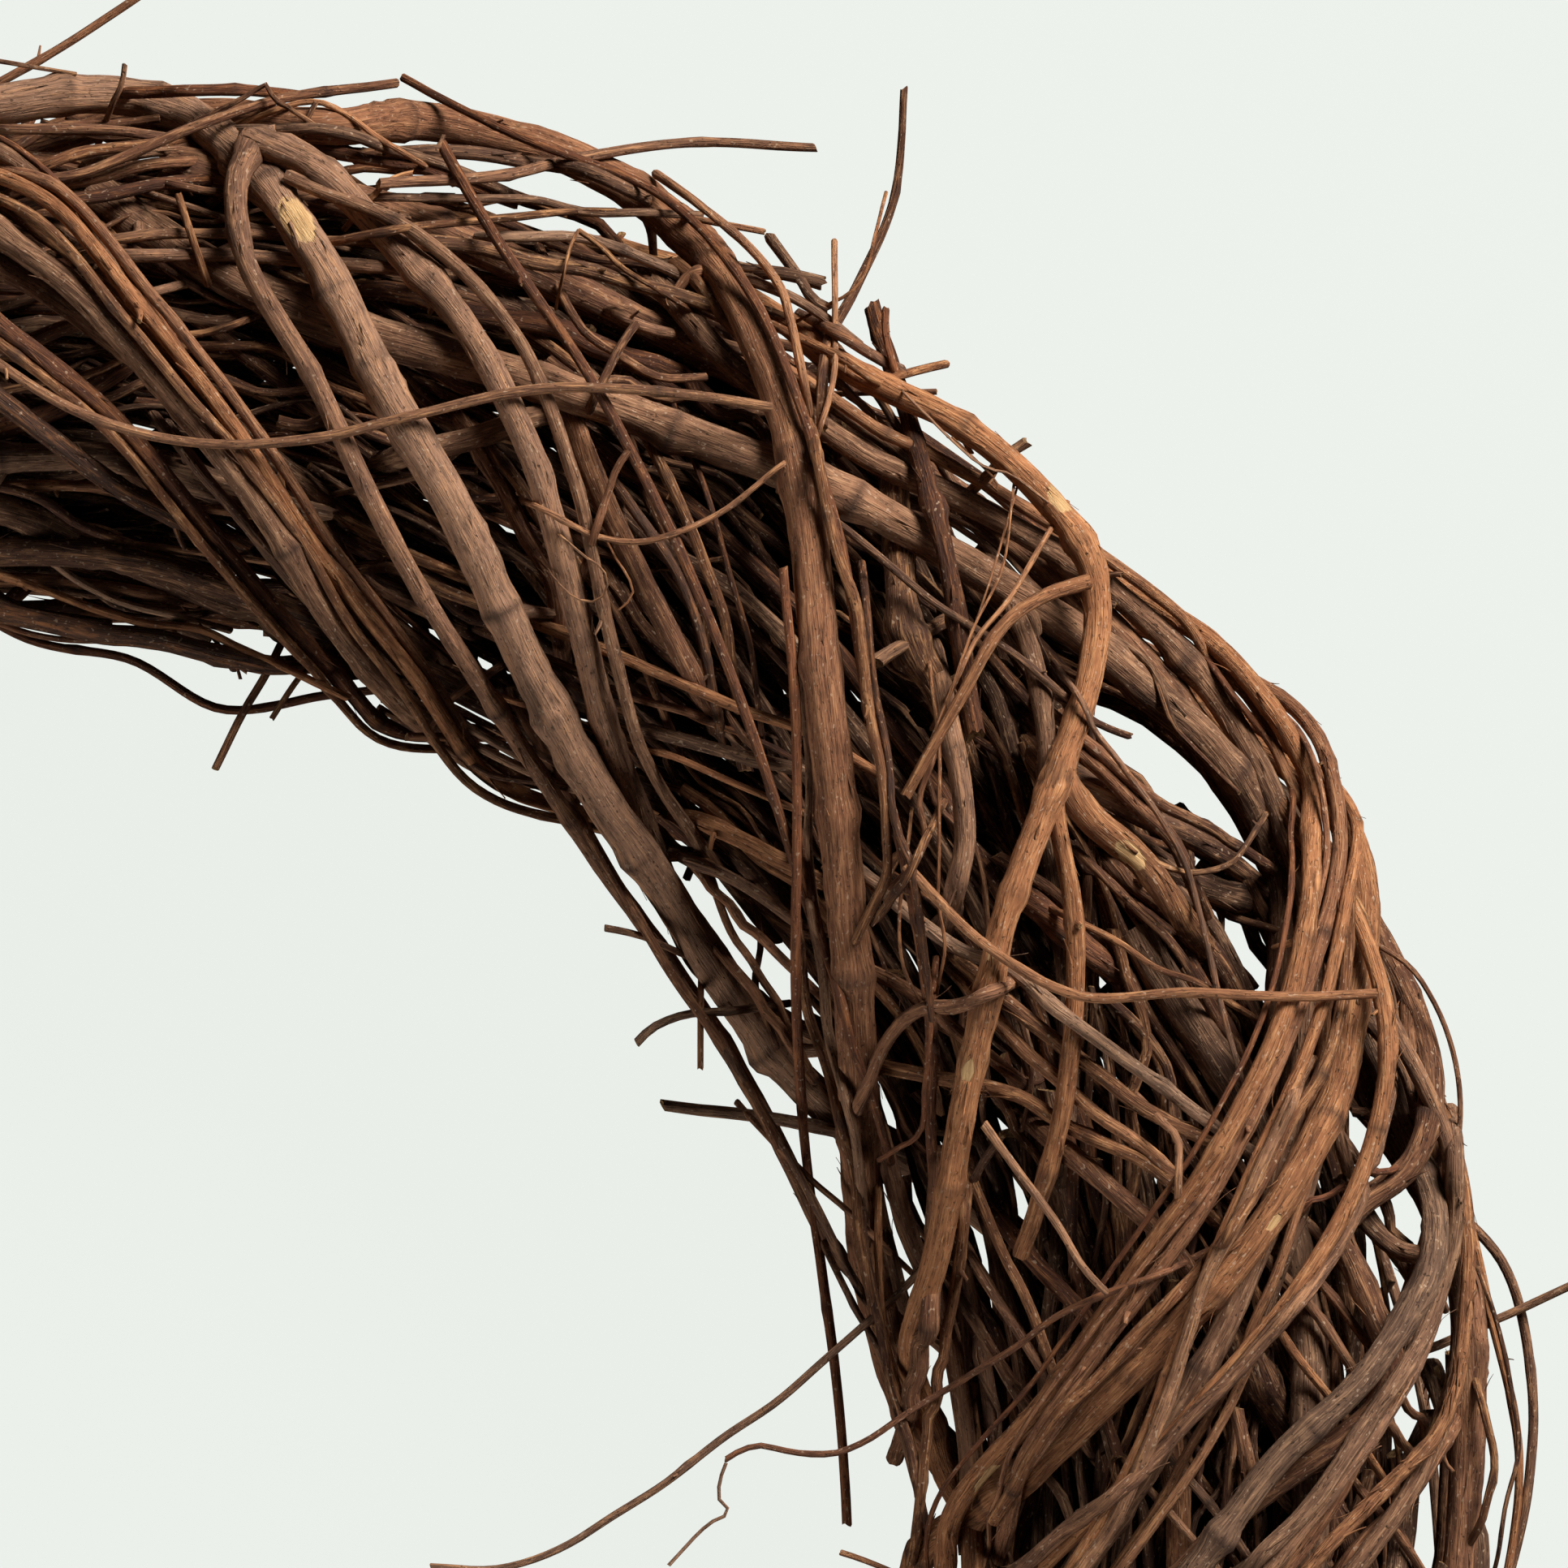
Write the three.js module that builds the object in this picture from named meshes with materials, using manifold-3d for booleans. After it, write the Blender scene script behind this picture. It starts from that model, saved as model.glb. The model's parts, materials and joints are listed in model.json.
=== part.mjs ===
// Grapevine wreath base, lying flat: the ring's axis is +Z, its face looks up, and it rests on z = 0.
// Every cane is a solid of its own. Canes lie along the ring as a core, or wind round it as wraps,
// and settle() eases them off one another so that they touch without crossing.
import * as THREE from "three";
import Module from "manifold-3d";

// The ring and its bundle, in mm
const RING_RADIUS = 184; // from the wreath's centre to the middle of the bundle
const HALF_WIDTH = 43; // of the bundle, across the ring
const HALF_DEPTH = 38; // of the bundle, face to back
const MID_HEIGHT = 42; // of the bundle's middle over the table
const WRAP_TURNS = 3.6; // times a wrap winds round the bundle in one lap of the ring

// How canes are cut into rings of flat sides
const WRAP_STEP = 24; // mm between rings
const CORE_STEP = 36;
const TWIG_STEP = 18;
const THICK_SIDES = 6;
const THIN_SIDES = 5;
const TWIG_SIDES = 4;
const CURVE_PARTS = 40; // pieces each stretch of a route is measured in
const LEAST_RUNS = 3; // a cane is cut into
const WIDTH_SPREAD = 0.09; // by which a cane's width wavers, as a share of it

// How canes lie on one another
const TOUCH_GAP = 0.35; // mm left between two canes that touch
const REACH = 2.6; // mm within which two canes are drawn together
const PAIR_REACH = 6.6; // mm within which two runs are kept an eye on
const SEAT_REACH = 18; // mm within which a cane that touches nothing looks for one to lie on
const SEATED = 0.1; // mm over which a cane still looks for one
const FLOOR_GAP = 0.4; // mm under a cane that does not carry the wreath
const REST_SINK = 0.9; // mm a carrying cane is worn flat
const REST_CLOCKS = [65, 182, 300]; // degrees round the ring where the three carrying canes touch the table
const REST_SPREAD = 9; // degrees to either side of those within which the lowest cane is taken
const KIN_RUNS = 4; // runs along one cane that are too near each other to part
const ROOT_RUNS = 2; // runs of an arm that lie inside the cane it grows from
const FORK_RUNS = 3; // runs of that cane to either side of the fork
const POST_FOOT = -20; // mm, the heights between which a see-through gap is kept clear
const POST_TOP = 120;

// How canes are eased into place, round by round
const SETTLE_ROUNDS = 220;
const CLEAR_ROUNDS = 160; // last rounds, which part canes and draw in only the ones that touch nothing
const LAST_ROUNDS = 50; // of those, the very last, which only part
const PAIR_ROUNDS = 8; // rounds between looks for near pairs
const SEAT_ROUNDS = 24; // rounds between looks for canes that touch nothing
const DRAW_IN = 0.12; // share of a gap closed in a round
const SEAT_DRAW_IN = 0.3;
const HOME_PULL = 0.03; // share of its way back to its route a cane goes in the first round
const FACE_HOLD = 0.08; // share a cane seen in full is kept back over its route, as seen from above
const SLIDE = 1.7; // times more readily canes part in height than sideways
const EVEN_FIRST = 0.35; // share by which its straying is evened out, in the first round
const EVEN_LAST = 0.05; // and in the last

// Knots
const KNOT_SWELL = 1.2; // a knot's width over the cane's
const KNOT_HALF = 3.5; // mm from a knot's middle to where the cane is its own width again
const KNOT_EVERY = 12; // runs between knots

// Seeded draws
const SEED = 4127;
const DRAW_TIMES = 1664525;
const DRAW_PLUS = 1013904223;
const DRAW_SPAN = 2 ** 32;

// Bark colours
const bark = (name, color, roughness) =>
  new THREE.MeshStandardMaterial({ name, color, roughness, metalness: 0 });
const BARKS = {
  grey_bark: bark("grey_bark", "#7d6b5c", 0.9),
  brown_bark: bark("brown_bark", "#75533c", 0.85),
  red_bark: bark("red_bark", "#5d3826", 0.75),
  tan_bark: bark("tan_bark", "#94704e", 0.85),
};

// Gaps in the bundle one sees through, kept clear of canes: middle and half-width, in mm
const SEE_THROUGH = [
  [165, 127.4, 1.2],
  [168, 126, 1.8],
  [171.3, 123.8, 2.6],
  [176, 119.3, 2.8],
  [181, 115.8, 2.2],
  [184.6, 112, 1],
  [108.8, 96.4, 1.1],
  [114, 86.6, 1.1],
  [206.8, 57, 0.9],
  [211, 53, 1.2],
  [207.4, 43.4, 0.9],
  [202.4, 41, 1.1],
  [213, 17.8, 1.2],
];

// Canes on the face seen in full. route: points along the cane as seen from above, in mm from the
// wreath's centre. lift: how high over the bundle's middle it runs, 1 being the bundle's own surface.
// before and after: degrees of winding it goes on for, out of sight, at each end. arms start inside
// the cane they grow from.
const FACE_CANES = [
  {
    name: "knot_cane", bark: "brown_bark", width: [6.2, 6.0], lift: 1.04, before: 150, after: 120,
    sides: THICK_SIDES,
    route: [
      [-22, 222], [9, 227], [33, 219], [42, 202], [51, 184], [66, 157], [80, 127], [100, 97],
      [119, 70],
    ],
    arms: [
      {
        root: [33, 219], bark: "brown_bark", width: [3.4, 2.2], lift: 1.1, after: 90,
        route: [
          [30, 212], [31, 202], [40, 186], [50, 165], [65, 139], [89, 102], [105, 79], [118, 56],
          [127, 40],
        ],
      },
      {
        root: [33, 219], bark: "grey_bark", width: [4.4, 3.8], lift: 1.04, after: 100,
        route: [[45, 212], [57, 198], [71, 183], [77, 166], [83, 146], [91, 118], [105, 90]],
      },
    ],
  },
  {
    name: "grey_twig", bark: "grey_bark", width: [2.4, 2.0], lift: 1.12, after: 60,
    route: [[38, 213], [50, 209], [64, 200], [74, 188], [80, 175], [87, 149], [89, 133]],
  },
  {
    name: "red_twig", bark: "red_bark", width: [1.9, 1.6], lift: 1.14, after: 50,
    route: [[62, 218], [69, 206], [76, 195], [88, 177], [97, 158], [108, 133], [116, 109]],
  },
  {
    name: "thick_wrap", bark: "brown_bark", width: [5.2, 7.4], lift: 1.07, before: 120, after: 130,
    sides: THICK_SIDES,
    route: [
      [46, 221], [58, 223], [75, 220], [96, 209], [109, 193], [116, 173], [120, 150], [123, 121],
      [126, 80], [129, 45], [133, 24],
    ],
  },
  {
    name: "dark_twig", bark: "red_bark", width: [1.4, 1.8], lift: 1.17, after: 70,
    route: [
      [55, 230], [78, 218], [100, 208], [109, 196], [116, 182], [121, 166], [125, 149], [128, 130],
      [133, 108], [137, 92],
    ],
  },
  {
    name: "left_wrap", bark: "grey_bark", width: [3.4, 3.0], lift: 1.1, before: 120, after: 60,
    route: [[-8, 218], [6, 205], [14, 196], [22, 184], [31, 168]],
  },
  {
    name: "orange_wrap", bark: "tan_bark", width: [2.6, 2.4], lift: 1.1, before: 110, after: 110,
    route: [[-8, 213], [4, 207], [12, 197], [29, 176], [37, 162], [49, 147], [61, 131], [72, 117]],
  },
  {
    name: "wide_left_wrap", bark: "grey_bark", width: [4.0, 4.6], lift: 1.04, before: 120, after: 120,
    sides: THICK_SIDES,
    route: [[-12, 208], [9, 191], [22, 177], [33, 163], [41, 149], [53, 135], [66, 122]],
  },
  {
    name: "second_left_wrap", bark: "red_bark", width: [2.6, 2.8], lift: 1.02, before: 130, after: 110,
    route: [[-22, 206], [-6, 190], [11, 176], [26, 158], [40, 141], [54, 127]],
  },
  {
    name: "long_cane", bark: "grey_bark", width: [6.6, 4.6], lift: 0.88, before: 40, after: 60,
    sides: THICK_SIDES,
    route: [
      [36, 194], [60, 186], [80, 180], [103, 172], [123, 164], [143, 153.5], [157, 145.5],
      [170.4, 135.6], [175.3, 130.6], [180, 125.5], [183.8, 120.7], [187.7, 115.3], [190.1, 109.9],
      [192, 102],
    ],
  },
  {
    name: "upper_cane", bark: "grey_bark", width: [3.8, 4.4], lift: 0.94, before: 50, after: 120,
    sides: THICK_SIDES,
    route: [
      [117, 174], [129, 169], [146, 161], [164, 151], [178, 140], [190, 124], [196, 108],
      [197, 92],
    ],
    arms: [
      {
        root: [178, 140], bark: "grey_bark", width: [2.4, 2.2], lift: 1.0, after: 60,
        route: [[188, 131], [196, 119], [200, 104]],
      },
    ],
  },
  {
    name: "loop_cane", bark: "tan_bark", width: [4.0, 4.4], lift: 1.13, before: 90, after: 110,
    sides: THICK_SIDES,
    route: [
      [137, 175], [148, 172], [158, 162], [162, 149], [159, 130], [152, 106], [147, 88], [143, 69],
      [138, 40], [135, 22],
    ],
    arms: [
      {
        root: [158, 118], bark: "grey_bark", width: [3.2, 2.8], lift: 0.98, after: 40,
        route: [[160, 106], [160, 90], [159, 74]],
      },
      {
        root: [162, 149], bark: "tan_bark", width: [2.2, 1.8], lift: 1.16, after: 0,
        route: [[152, 146], [144, 135], [139, 125], [134, 117]],
      },
    ],
  },
  {
    name: "bundle_wrap_1", bark: "tan_bark", width: [3.2, 3.4], lift: 1.06, before: 130, after: 120,
    route: [
      [186, 133], [196, 126], [199, 113], [196, 96], [190, 76], [179, 57], [167, 39], [152, 17],
      [145, 5],
    ],
  },
  {
    name: "bundle_wrap_2", bark: "brown_bark", width: [2.4, 2.6], lift: 1.1, before: 120, after: 130,
    route: [[196, 130], [201, 119], [200, 101], [195, 84], [187, 66], [175, 46], [161, 27], [149, 9]],
  },
  {
    name: "bundle_wrap_3", bark: "tan_bark", width: [2.0, 2.2], lift: 1.15, before: 110, after: 120,
    route: [[202, 119], [203, 103], [198, 82], [188, 60], [181, 44], [175, 27], [168, 12], [158, -5]],
  },
  {
    name: "stout_wrap", bark: "tan_bark", width: [4.4, 5.6], lift: 1.04, before: 130, after: 110,
    sides: THICK_SIDES,
    route: [
      [203, 113], [206, 94], [204, 79], [195, 59], [184, 44], [170, 28], [155, 13], [146, 5],
      [136, -6],
    ],
    arms: [
      {
        root: [146, 5], bark: "tan_bark", width: [3.6, 3.2], lift: 0.96, after: 60,
        route: [[147, -6], [144, -20]],
      },
    ],
  },
  {
    name: "bundle_wrap_4", bark: "tan_bark", width: [2.8, 2.6], lift: 1.12, before: 120, after: 130,
    route: [[205, 98], [209, 80], [208, 66], [200, 48], [189, 34], [174, 17], [159, 1], [148, -12]],
  },
  {
    name: "rough_grey_cane", bark: "grey_bark", width: [4.0, 4.4], lift: 0.97, before: 120, after: 110,
    sides: THICK_SIDES,
    route: [
      [203, 87], [209, 76], [213, 60], [214.6, 49], [211, 39.5], [205.6, 27.6], [195, 17],
      [182, 4], [172, -12],
    ],
    arms: [
      {
        root: [211, 39.5], bark: "grey_bark", width: [3.4, 2.6], lift: 0.9, after: 20,
        route: [[207, 48], [202, 57]],
      },
    ],
  },
  {
    name: "outer_wrap_1", bark: "brown_bark", width: [2.6, 2.8], lift: 1.06, before: 110, after: 130,
    route: [[206, 87], [214, 71], [218, 55], [217.6, 42], [212, 27], [202, 12], [189, -4], [177, -18]],
  },
  {
    name: "outer_wrap_2", bark: "tan_bark", width: [2.2, 2.4], lift: 1.1, before: 100, after: 130,
    route: [[216, 71], [221, 54], [221.4, 37], [217, 21], [205, 7], [193, -6], [182, -19]],
  },
  {
    name: "outer_wrap_3", bark: "grey_bark", width: [3.2, 3.0], lift: 1.0, before: 120, after: 120,
    route: [[219, 48], [221, 33], [217, 17], [209, 4], [199, -9], [188, -22]],
  },
  {
    name: "rim_twig", bark: "tan_bark", width: [1.5, 1.3], lift: 1.0, before: 0, after: 60,
    route: [[221, 60], [224, 44], [229, 26], [231, 8], [228, -10], [221, -28]],
  },
  {
    name: "over_twig", bark: "tan_bark", width: [1.6, 1.6], lift: 1.2, before: 50, after: 0,
    sides: TWIG_SIDES,
    route: [[-8, 185], [11, 174], [35, 171], [60, 176], [82, 180], [96, 179], [113, 177]],
  },
  {
    name: "cross_twig", bark: "tan_bark", width: [1.7, 1.5], lift: 1.16, before: 10, after: 0,
    sides: TWIG_SIDES,
    route: [[134, 106], [143, 98], [153, 87], [170, 87], [188, 86], [207, 86]],
  },
  {
    name: "long_red_twig", bark: "red_bark", width: [1.6, 1.6], lift: 1.15, before: 20, after: 0,
    sides: TWIG_SIDES,
    route: [[115, 152], [117, 127], [117, 103], [117, 80], [119, 55], [123, 28], [125, 2]],
  },
  {
    name: "top_twig_left", bark: "brown_bark", width: [1.6, 1.9], lift: 1.06, before: 0, after: 40,
    sides: TWIG_SIDES,
    route: [[54, 229], [33, 225], [19, 219], [5, 213], [-12, 208]],
  },
  {
    name: "top_twig_right", bark: "brown_bark", width: [1.9, 1.5], lift: 1.12, before: 20, after: 0,
    sides: TWIG_SIDES,
    route: [[52, 212], [64, 212], [77, 215], [91, 219], [105, 220], [120, 219]],
  },
  {
    name: "upright_twig", bark: "brown_bark", width: [1.9, 1.2], lift: 1.04, before: 20, after: 0,
    sides: TWIG_SIDES,
    route: [[121, 174], [122, 188], [129, 202], [133, 214], [134, 228]],
  },
  {
    name: "dark_stub", bark: "red_bark", width: [2.6, 3.2], lift: 1.02, before: 0, after: 40,
    route: [[129, 194], [134, 183], [135, 173], [139, 162]],
  },
  {
    name: "inner_stub", bark: "grey_bark", width: [1.9, 2.3], lift: 0.75, before: 0, after: 40,
    route: [[96, 68], [108, 66], [120, 65], [134, 62]],
  },
  {
    name: "inner_twig", bark: "red_bark", width: [1.3, 1.5], lift: 0.6, before: 30, after: 30,
    sides: TWIG_SIDES,
    route: [[-6, 142], [9, 140], [21, 131], [36, 131], [52, 134], [66, 134]],
  },
  {
    name: "side_twig", bark: "tan_bark", width: [2.0, 1.3], lift: 0.5, before: 40, after: 0,
    sides: TWIG_SIDES,
    route: [[217, 27], [224, 32], [232, 38], [240, 40]],
  },
  {
    name: "side_loop_twig", bark: "brown_bark", width: [1.8, 1.5], lift: 0.8, before: 30, after: 50,
    sides: TWIG_SIDES,
    route: [[218, 54], [228, 44], [232, 31], [233, 16], [230, -4], [222, -24]],
  },
  {
    name: "corner_twig", bark: "brown_bark", width: [1.9, 1.3], lift: 0.7, before: 30, after: 0,
    sides: TWIG_SIDES,
    route: [[-44, 208], [-27, 219], [-14, 226], [-4, 231], [4, 236], [9, 236], [14, 243]],
  },
];

// Wraps on the rest of the ring. from and to: clock angles in degrees, clockwise from twelve o'clock
// as seen from above. turns: where round the bundle each wrap starts, 0 being the ring's outer edge
// and 90 its face.
const WRAP_GROUPS = [
  { from: 98, to: 300, turns: [15, 33, 52], bark: ["brown_bark", "grey_bark", "tan_bark"] },
  { from: 108, to: 322, turns: [118, 134], bark: ["red_bark", "brown_bark"] },
  { from: 92, to: 286, turns: [214, 236, 262], bark: ["grey_bark", "brown_bark", "tan_bark"] },
  { from: 122, to: 350, turns: [322, 341], bark: ["brown_bark", "grey_bark"] },
  { from: 190, to: 366, turns: [66, 84], bark: ["tan_bark", "brown_bark"] },
  { from: 176, to: 384, turns: [168, 192], bark: ["grey_bark", "red_bark"] },
  { from: 20, to: 160, turns: [246], bark: ["brown_bark"] },
];
const WRAP_WIDTHS = [3.4, 6.2];
const TUCK = 0.28; // how far into the bundle a wrap's ends sink, as a share of its depth
const TUCK_RUN = 14; // degrees round the ring over which they sink
const TURN_SPREAD = 0.06; // by which one wrap winds faster than another, as a share
const START_SPREAD = 10; // degrees by which a wrap starts later than its group
const END_SPREAD = 14; // and by which it ends earlier
const SWING = 7; // degrees round the bundle a wrap sways to either side of its winding
const SWING_PACE = 2.3; // sways in one lap of the ring
const WAVE = 0.05; // by which it comes nearer and farther from the bundle's middle, as a share
const WAVE_PACE = 1.7;
const LAYER = 0.05; // how much deeper each wrap of a group lies than the one before, as a share
const WRAP_TAPER = 0.72; // its width at the far end over that at the near one
const WRAP_FORK = [0.15, 0.5]; // shares of a wrap's length between which its side shoot leaves it
const WRAP_SHOOT = [55, 90]; // degrees round the ring the shoot runs on beside it
const WRAP_SHOOT_ASIDE = 18; // degrees round the bundle it lies beside it
const WRAP_SHOOT_RISE = 0.02; // and over it, as a share of the bundle's depth
const SHOOT_RUN = 20; // degrees round the ring over which any shoot leaves its cane
const SHOOT_WIDTHS = [0.61, 0.45]; // a shoot's width at each end over its cane's
const POINT_EVERY = 7; // degrees round the ring between points of a wrap or a core cane

// Core canes: how far out of the bundle's middle each runs, and where round it it starts
const CORE_CANES = [
  { from: 5, span: 315, turn: 20, out: 0.86, drift: 0.1, bark: "brown_bark", width: 5.6 },
  { from: 60, span: 320, turn: 72, out: 0.82, drift: 0.14, bark: "grey_bark", width: 6.0 },
  { from: 118, span: 318, turn: 124, out: 0.85, drift: 0.12, bark: "brown_bark", width: 5.2 },
  { from: 170, span: 318, turn: 172, out: 0.88, drift: 0.1, bark: "red_bark", width: 4.6 },
  { from: 226, span: 322, turn: 216, out: 0.86, drift: 0.14, bark: "grey_bark", width: 5.8 },
  { from: 280, span: 316, turn: 264, out: 0.86, drift: 0.12, bark: "brown_bark", width: 5.4 },
  { from: 330, span: 320, turn: 318, out: 0.86, drift: 0.1, bark: "tan_bark", width: 5.0 },
  { from: 30, span: 318, turn: 100, out: 0.5, drift: 0.3, bark: "brown_bark", width: 6.6 },
  { from: 200, span: 318, turn: 260, out: 0.5, drift: 0.3, bark: "grey_bark", width: 6.8 },
];
const CORE_SWINGS = [{ size: 9, pace: 3.1 }, { size: 5, pace: 7.3 }]; // degrees, and times in a lap
const CORE_TAPER = 0.75;
const CORE_FORK = [28, 128]; // degrees along a core cane between which its side shoot leaves it
const CORE_SHOOT = 85; // degrees the shoot runs beside it
const CORE_SHOOT_ASIDE = 24;
const CORE_SHOOT_RISE = -0.12;

// Twigs that stand off the ring where it is not seen, by hand like the ones that are
const FAR_TWIGS = [
  {
    name: "left_twig", bark: "brown_bark", width: [1.9, 1.3], lift: 0.5, before: 40, after: 0,
    route: [[-214, 10], [-224, 20], [-234, 30], [-245, 44]],
  },
  {
    name: "bottom_twig", bark: "tan_bark", width: [1.9, 1.3], lift: 0.5, before: 40, after: 0,
    route: [[6, -214], [-8, -225], [-20, -235], [-36, -248]],
  },
];

const HIDDEN_STRIDE = 30; // degrees of winding between two points of a run out of sight
const HIDDEN_OUT = 0.97; // share of the bundle's depth it keeps within
const HIDDEN_SINK = 0.12; // share of the bundle's depth it has gone in by its end
const RAD = Math.PI / 180;
const UP = new THREE.Vector3(0, 0, 1);

// A seeded draw between 0 and 1
function makeDraw(seed) {
  let state = seed;
  return () => {
    state = (state * DRAW_TIMES + DRAW_PLUS) % DRAW_SPAN;
    return state / DRAW_SPAN;
  };
}

// The point at a clock angle, turned round the bundle, some share of the way out of its middle
function ringPoint(clock, turn, out) {
  const radius = RING_RADIUS + HALF_WIDTH * out * Math.cos(turn * RAD);
  const height = MID_HEIGHT + HALF_DEPTH * out * Math.sin(turn * RAD);
  return new THREE.Vector3(radius * Math.sin(clock * RAD), radius * Math.cos(clock * RAD), height);
}

// A point of the face given from above: its height is the bundle's there
function facePoint([x, y], lift) {
  const across = (Math.hypot(x, y) - RING_RADIUS) / HALF_WIDTH;
  const height = MID_HEIGHT + HALF_DEPTH * Math.sqrt(Math.max(0, lift * lift - across * across));
  return new THREE.Vector3(x, y, height);
}

// Where a winding that ended on the face goes on, out of sight: way is 1 onward and -1 backward
function hiddenRun([x, y], lift, degrees, way) {
  const clock = Math.atan2(x, y) / RAD;
  const across = (Math.hypot(x, y) - RING_RADIUS) / HALF_WIDTH;
  const turn = Math.acos(THREE.MathUtils.clamp(across / lift, -1, 1)) / RAD;
  const points = [];
  for (let done = HIDDEN_STRIDE; done <= degrees; done += HIDDEN_STRIDE) {
    const sink = 1 - HIDDEN_SINK * (done / degrees); // it tucks in a little under its neighbours
    const out = Math.min(lift, HIDDEN_OUT) * sink;
    points.push(ringPoint(clock + (way * done) / WRAP_TURNS, turn + way * done, out));
  }
  return points;
}

// A smooth line through points, cut into even steps
function evenSteps(points, step) {
  const curve = new THREE.CatmullRomCurve3(points, false, "centripetal");
  curve.arcLengthDivisions = CURVE_PARTS * points.length;
  const count = Math.max(LEAST_RUNS, Math.round(curve.getLength() / step));
  return curve.getSpacedPoints(count);
}

// A chain is one run of cane: its rings' centres and radii
function makeChain(points, step, [first, last], sides, draw) {
  const spots = evenSteps(points, step);
  const radii = spots.map((_, i) => {
    const along = i / (spots.length - 1);
    return ((first + (last - first) * along) / 2) * (1 + WIDTH_SPREAD * (draw() - 0.5));
  });
  const knots = new Set();
  const firstKnot = 1 + Math.floor(KNOT_EVERY * draw());
  for (let run = firstKnot; run < spots.length - 2 && sides > TWIG_SIDES; run += KNOT_EVERY) knots.add(run);
  return { spots, home: spots.map((p) => p.clone()), radii, sides, knots, parent: null, rest: [] };
}

function faceChains(cane, draw) {
  const sides = cane.sides ?? THIN_SIDES;
  const step = sides === TWIG_SIDES ? TWIG_STEP : WRAP_STEP;
  const { route, lift } = cane;
  const points = [
    ...hiddenRun(route[0], lift, cane.before ?? 0, -1).reverse(),
    ...route.map((spot) => facePoint(spot, lift)),
    ...hiddenRun(route[route.length - 1], lift, cane.after ?? 0, 1),
  ];
  const trunk = makeChain(points, step, cane.width, sides, draw);
  const chains = [trunk];
  for (const arm of cane.arms ?? []) {
    const root = facePoint(arm.root, lift);
    const armPoints = [root, ...faceRun(arm)];
    const chain = makeChain(armPoints, WRAP_STEP, arm.width, THIN_SIDES, draw);
    chain.parent = forkOf(trunk, root);
    chains.push(chain);
  }
  chains.forEach((chain) => {
    chain.onFace = true;
  });
  return chains;
}

function faceRun(arm) {
  const end = arm.route[arm.route.length - 1];
  return [...arm.route.map((spot) => facePoint(spot, arm.lift)), ...hiddenRun(end, arm.lift, arm.after, 1)];
}

// Where along a cane an arm leaves it: the run, and how far along that
function forkOf(chain, point) {
  let best = { gap: Infinity };
  for (let ring = 0; ring + 1 < chain.spots.length; ring += 1) {
    const run = new THREE.Line3(chain.spots[ring], chain.spots[ring + 1]);
    const share = run.closestPointToPointParameter(point, true);
    const gap = run.at(share, new THREE.Vector3()).distanceTo(point);
    if (gap < best.gap) best = { chain, ring, share, gap };
  }
  return best;
}

// A wrap and the side shoot that leaves it and winds on beside it
function wrapChains(group, index, draw) {
  const [thin, thick] = WRAP_WIDTHS;
  const turns = WRAP_TURNS * (1 + TURN_SPREAD * (draw() - 0.5));
  const start = group.from + START_SPREAD * draw();
  const end = group.to - END_SPREAD * draw();
  const sway = 360 * draw();
  const width = thin + (thick - thin) * draw();
  const fork = start + (end - start) * (WRAP_FORK[0] + (WRAP_FORK[1] - WRAP_FORK[0]) * draw());
  const shootEnd = Math.min(end, fork + WRAP_SHOOT[0] + (WRAP_SHOOT[1] - WRAP_SHOOT[0]) * draw());
  const shootSide = draw() < 0.5 ? -1 : 1;
  const pointAt = (clock, aside, rise) => {
    const swing = SWING * Math.sin((clock * SWING_PACE + sway) * RAD);
    const toEnd = Math.min(1, (clock - start) / TUCK_RUN, (end - clock) / TUCK_RUN);
    const tuck = TUCK * (1 - Math.max(0, toEnd));
    const wave = WAVE * Math.sin((clock * WAVE_PACE + sway) * RAD);
    const turn = group.turns[index] + turns * (clock - start) + swing;
    return ringPoint(clock, turn + aside, 1 + wave - LAYER * index - tuck + rise);
  };
  const trunkPoints = [];
  for (let clock = start; clock <= end; clock += POINT_EVERY) trunkPoints.push(pointAt(clock, 0, 0));
  const trunk = makeChain(trunkPoints, WRAP_STEP + 2, [width, width * WRAP_TAPER], THIN_SIDES, draw);
  const root = pointAt(fork, 0, 0);
  const shootPoints = [root];
  for (let clock = fork + POINT_EVERY; clock <= shootEnd; clock += POINT_EVERY) {
    const away = Math.min(1, (clock - fork) / SHOOT_RUN);
    shootPoints.push(pointAt(clock, WRAP_SHOOT_ASIDE * shootSide * away, WRAP_SHOOT_RISE * away));
  }
  const shootWidths = SHOOT_WIDTHS.map((share) => share * width);
  const shoot = makeChain(shootPoints, WRAP_STEP + 2, shootWidths, TWIG_SIDES, draw);
  shoot.parent = forkOf(trunk, root);
  return [trunk, shoot];
}

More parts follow.
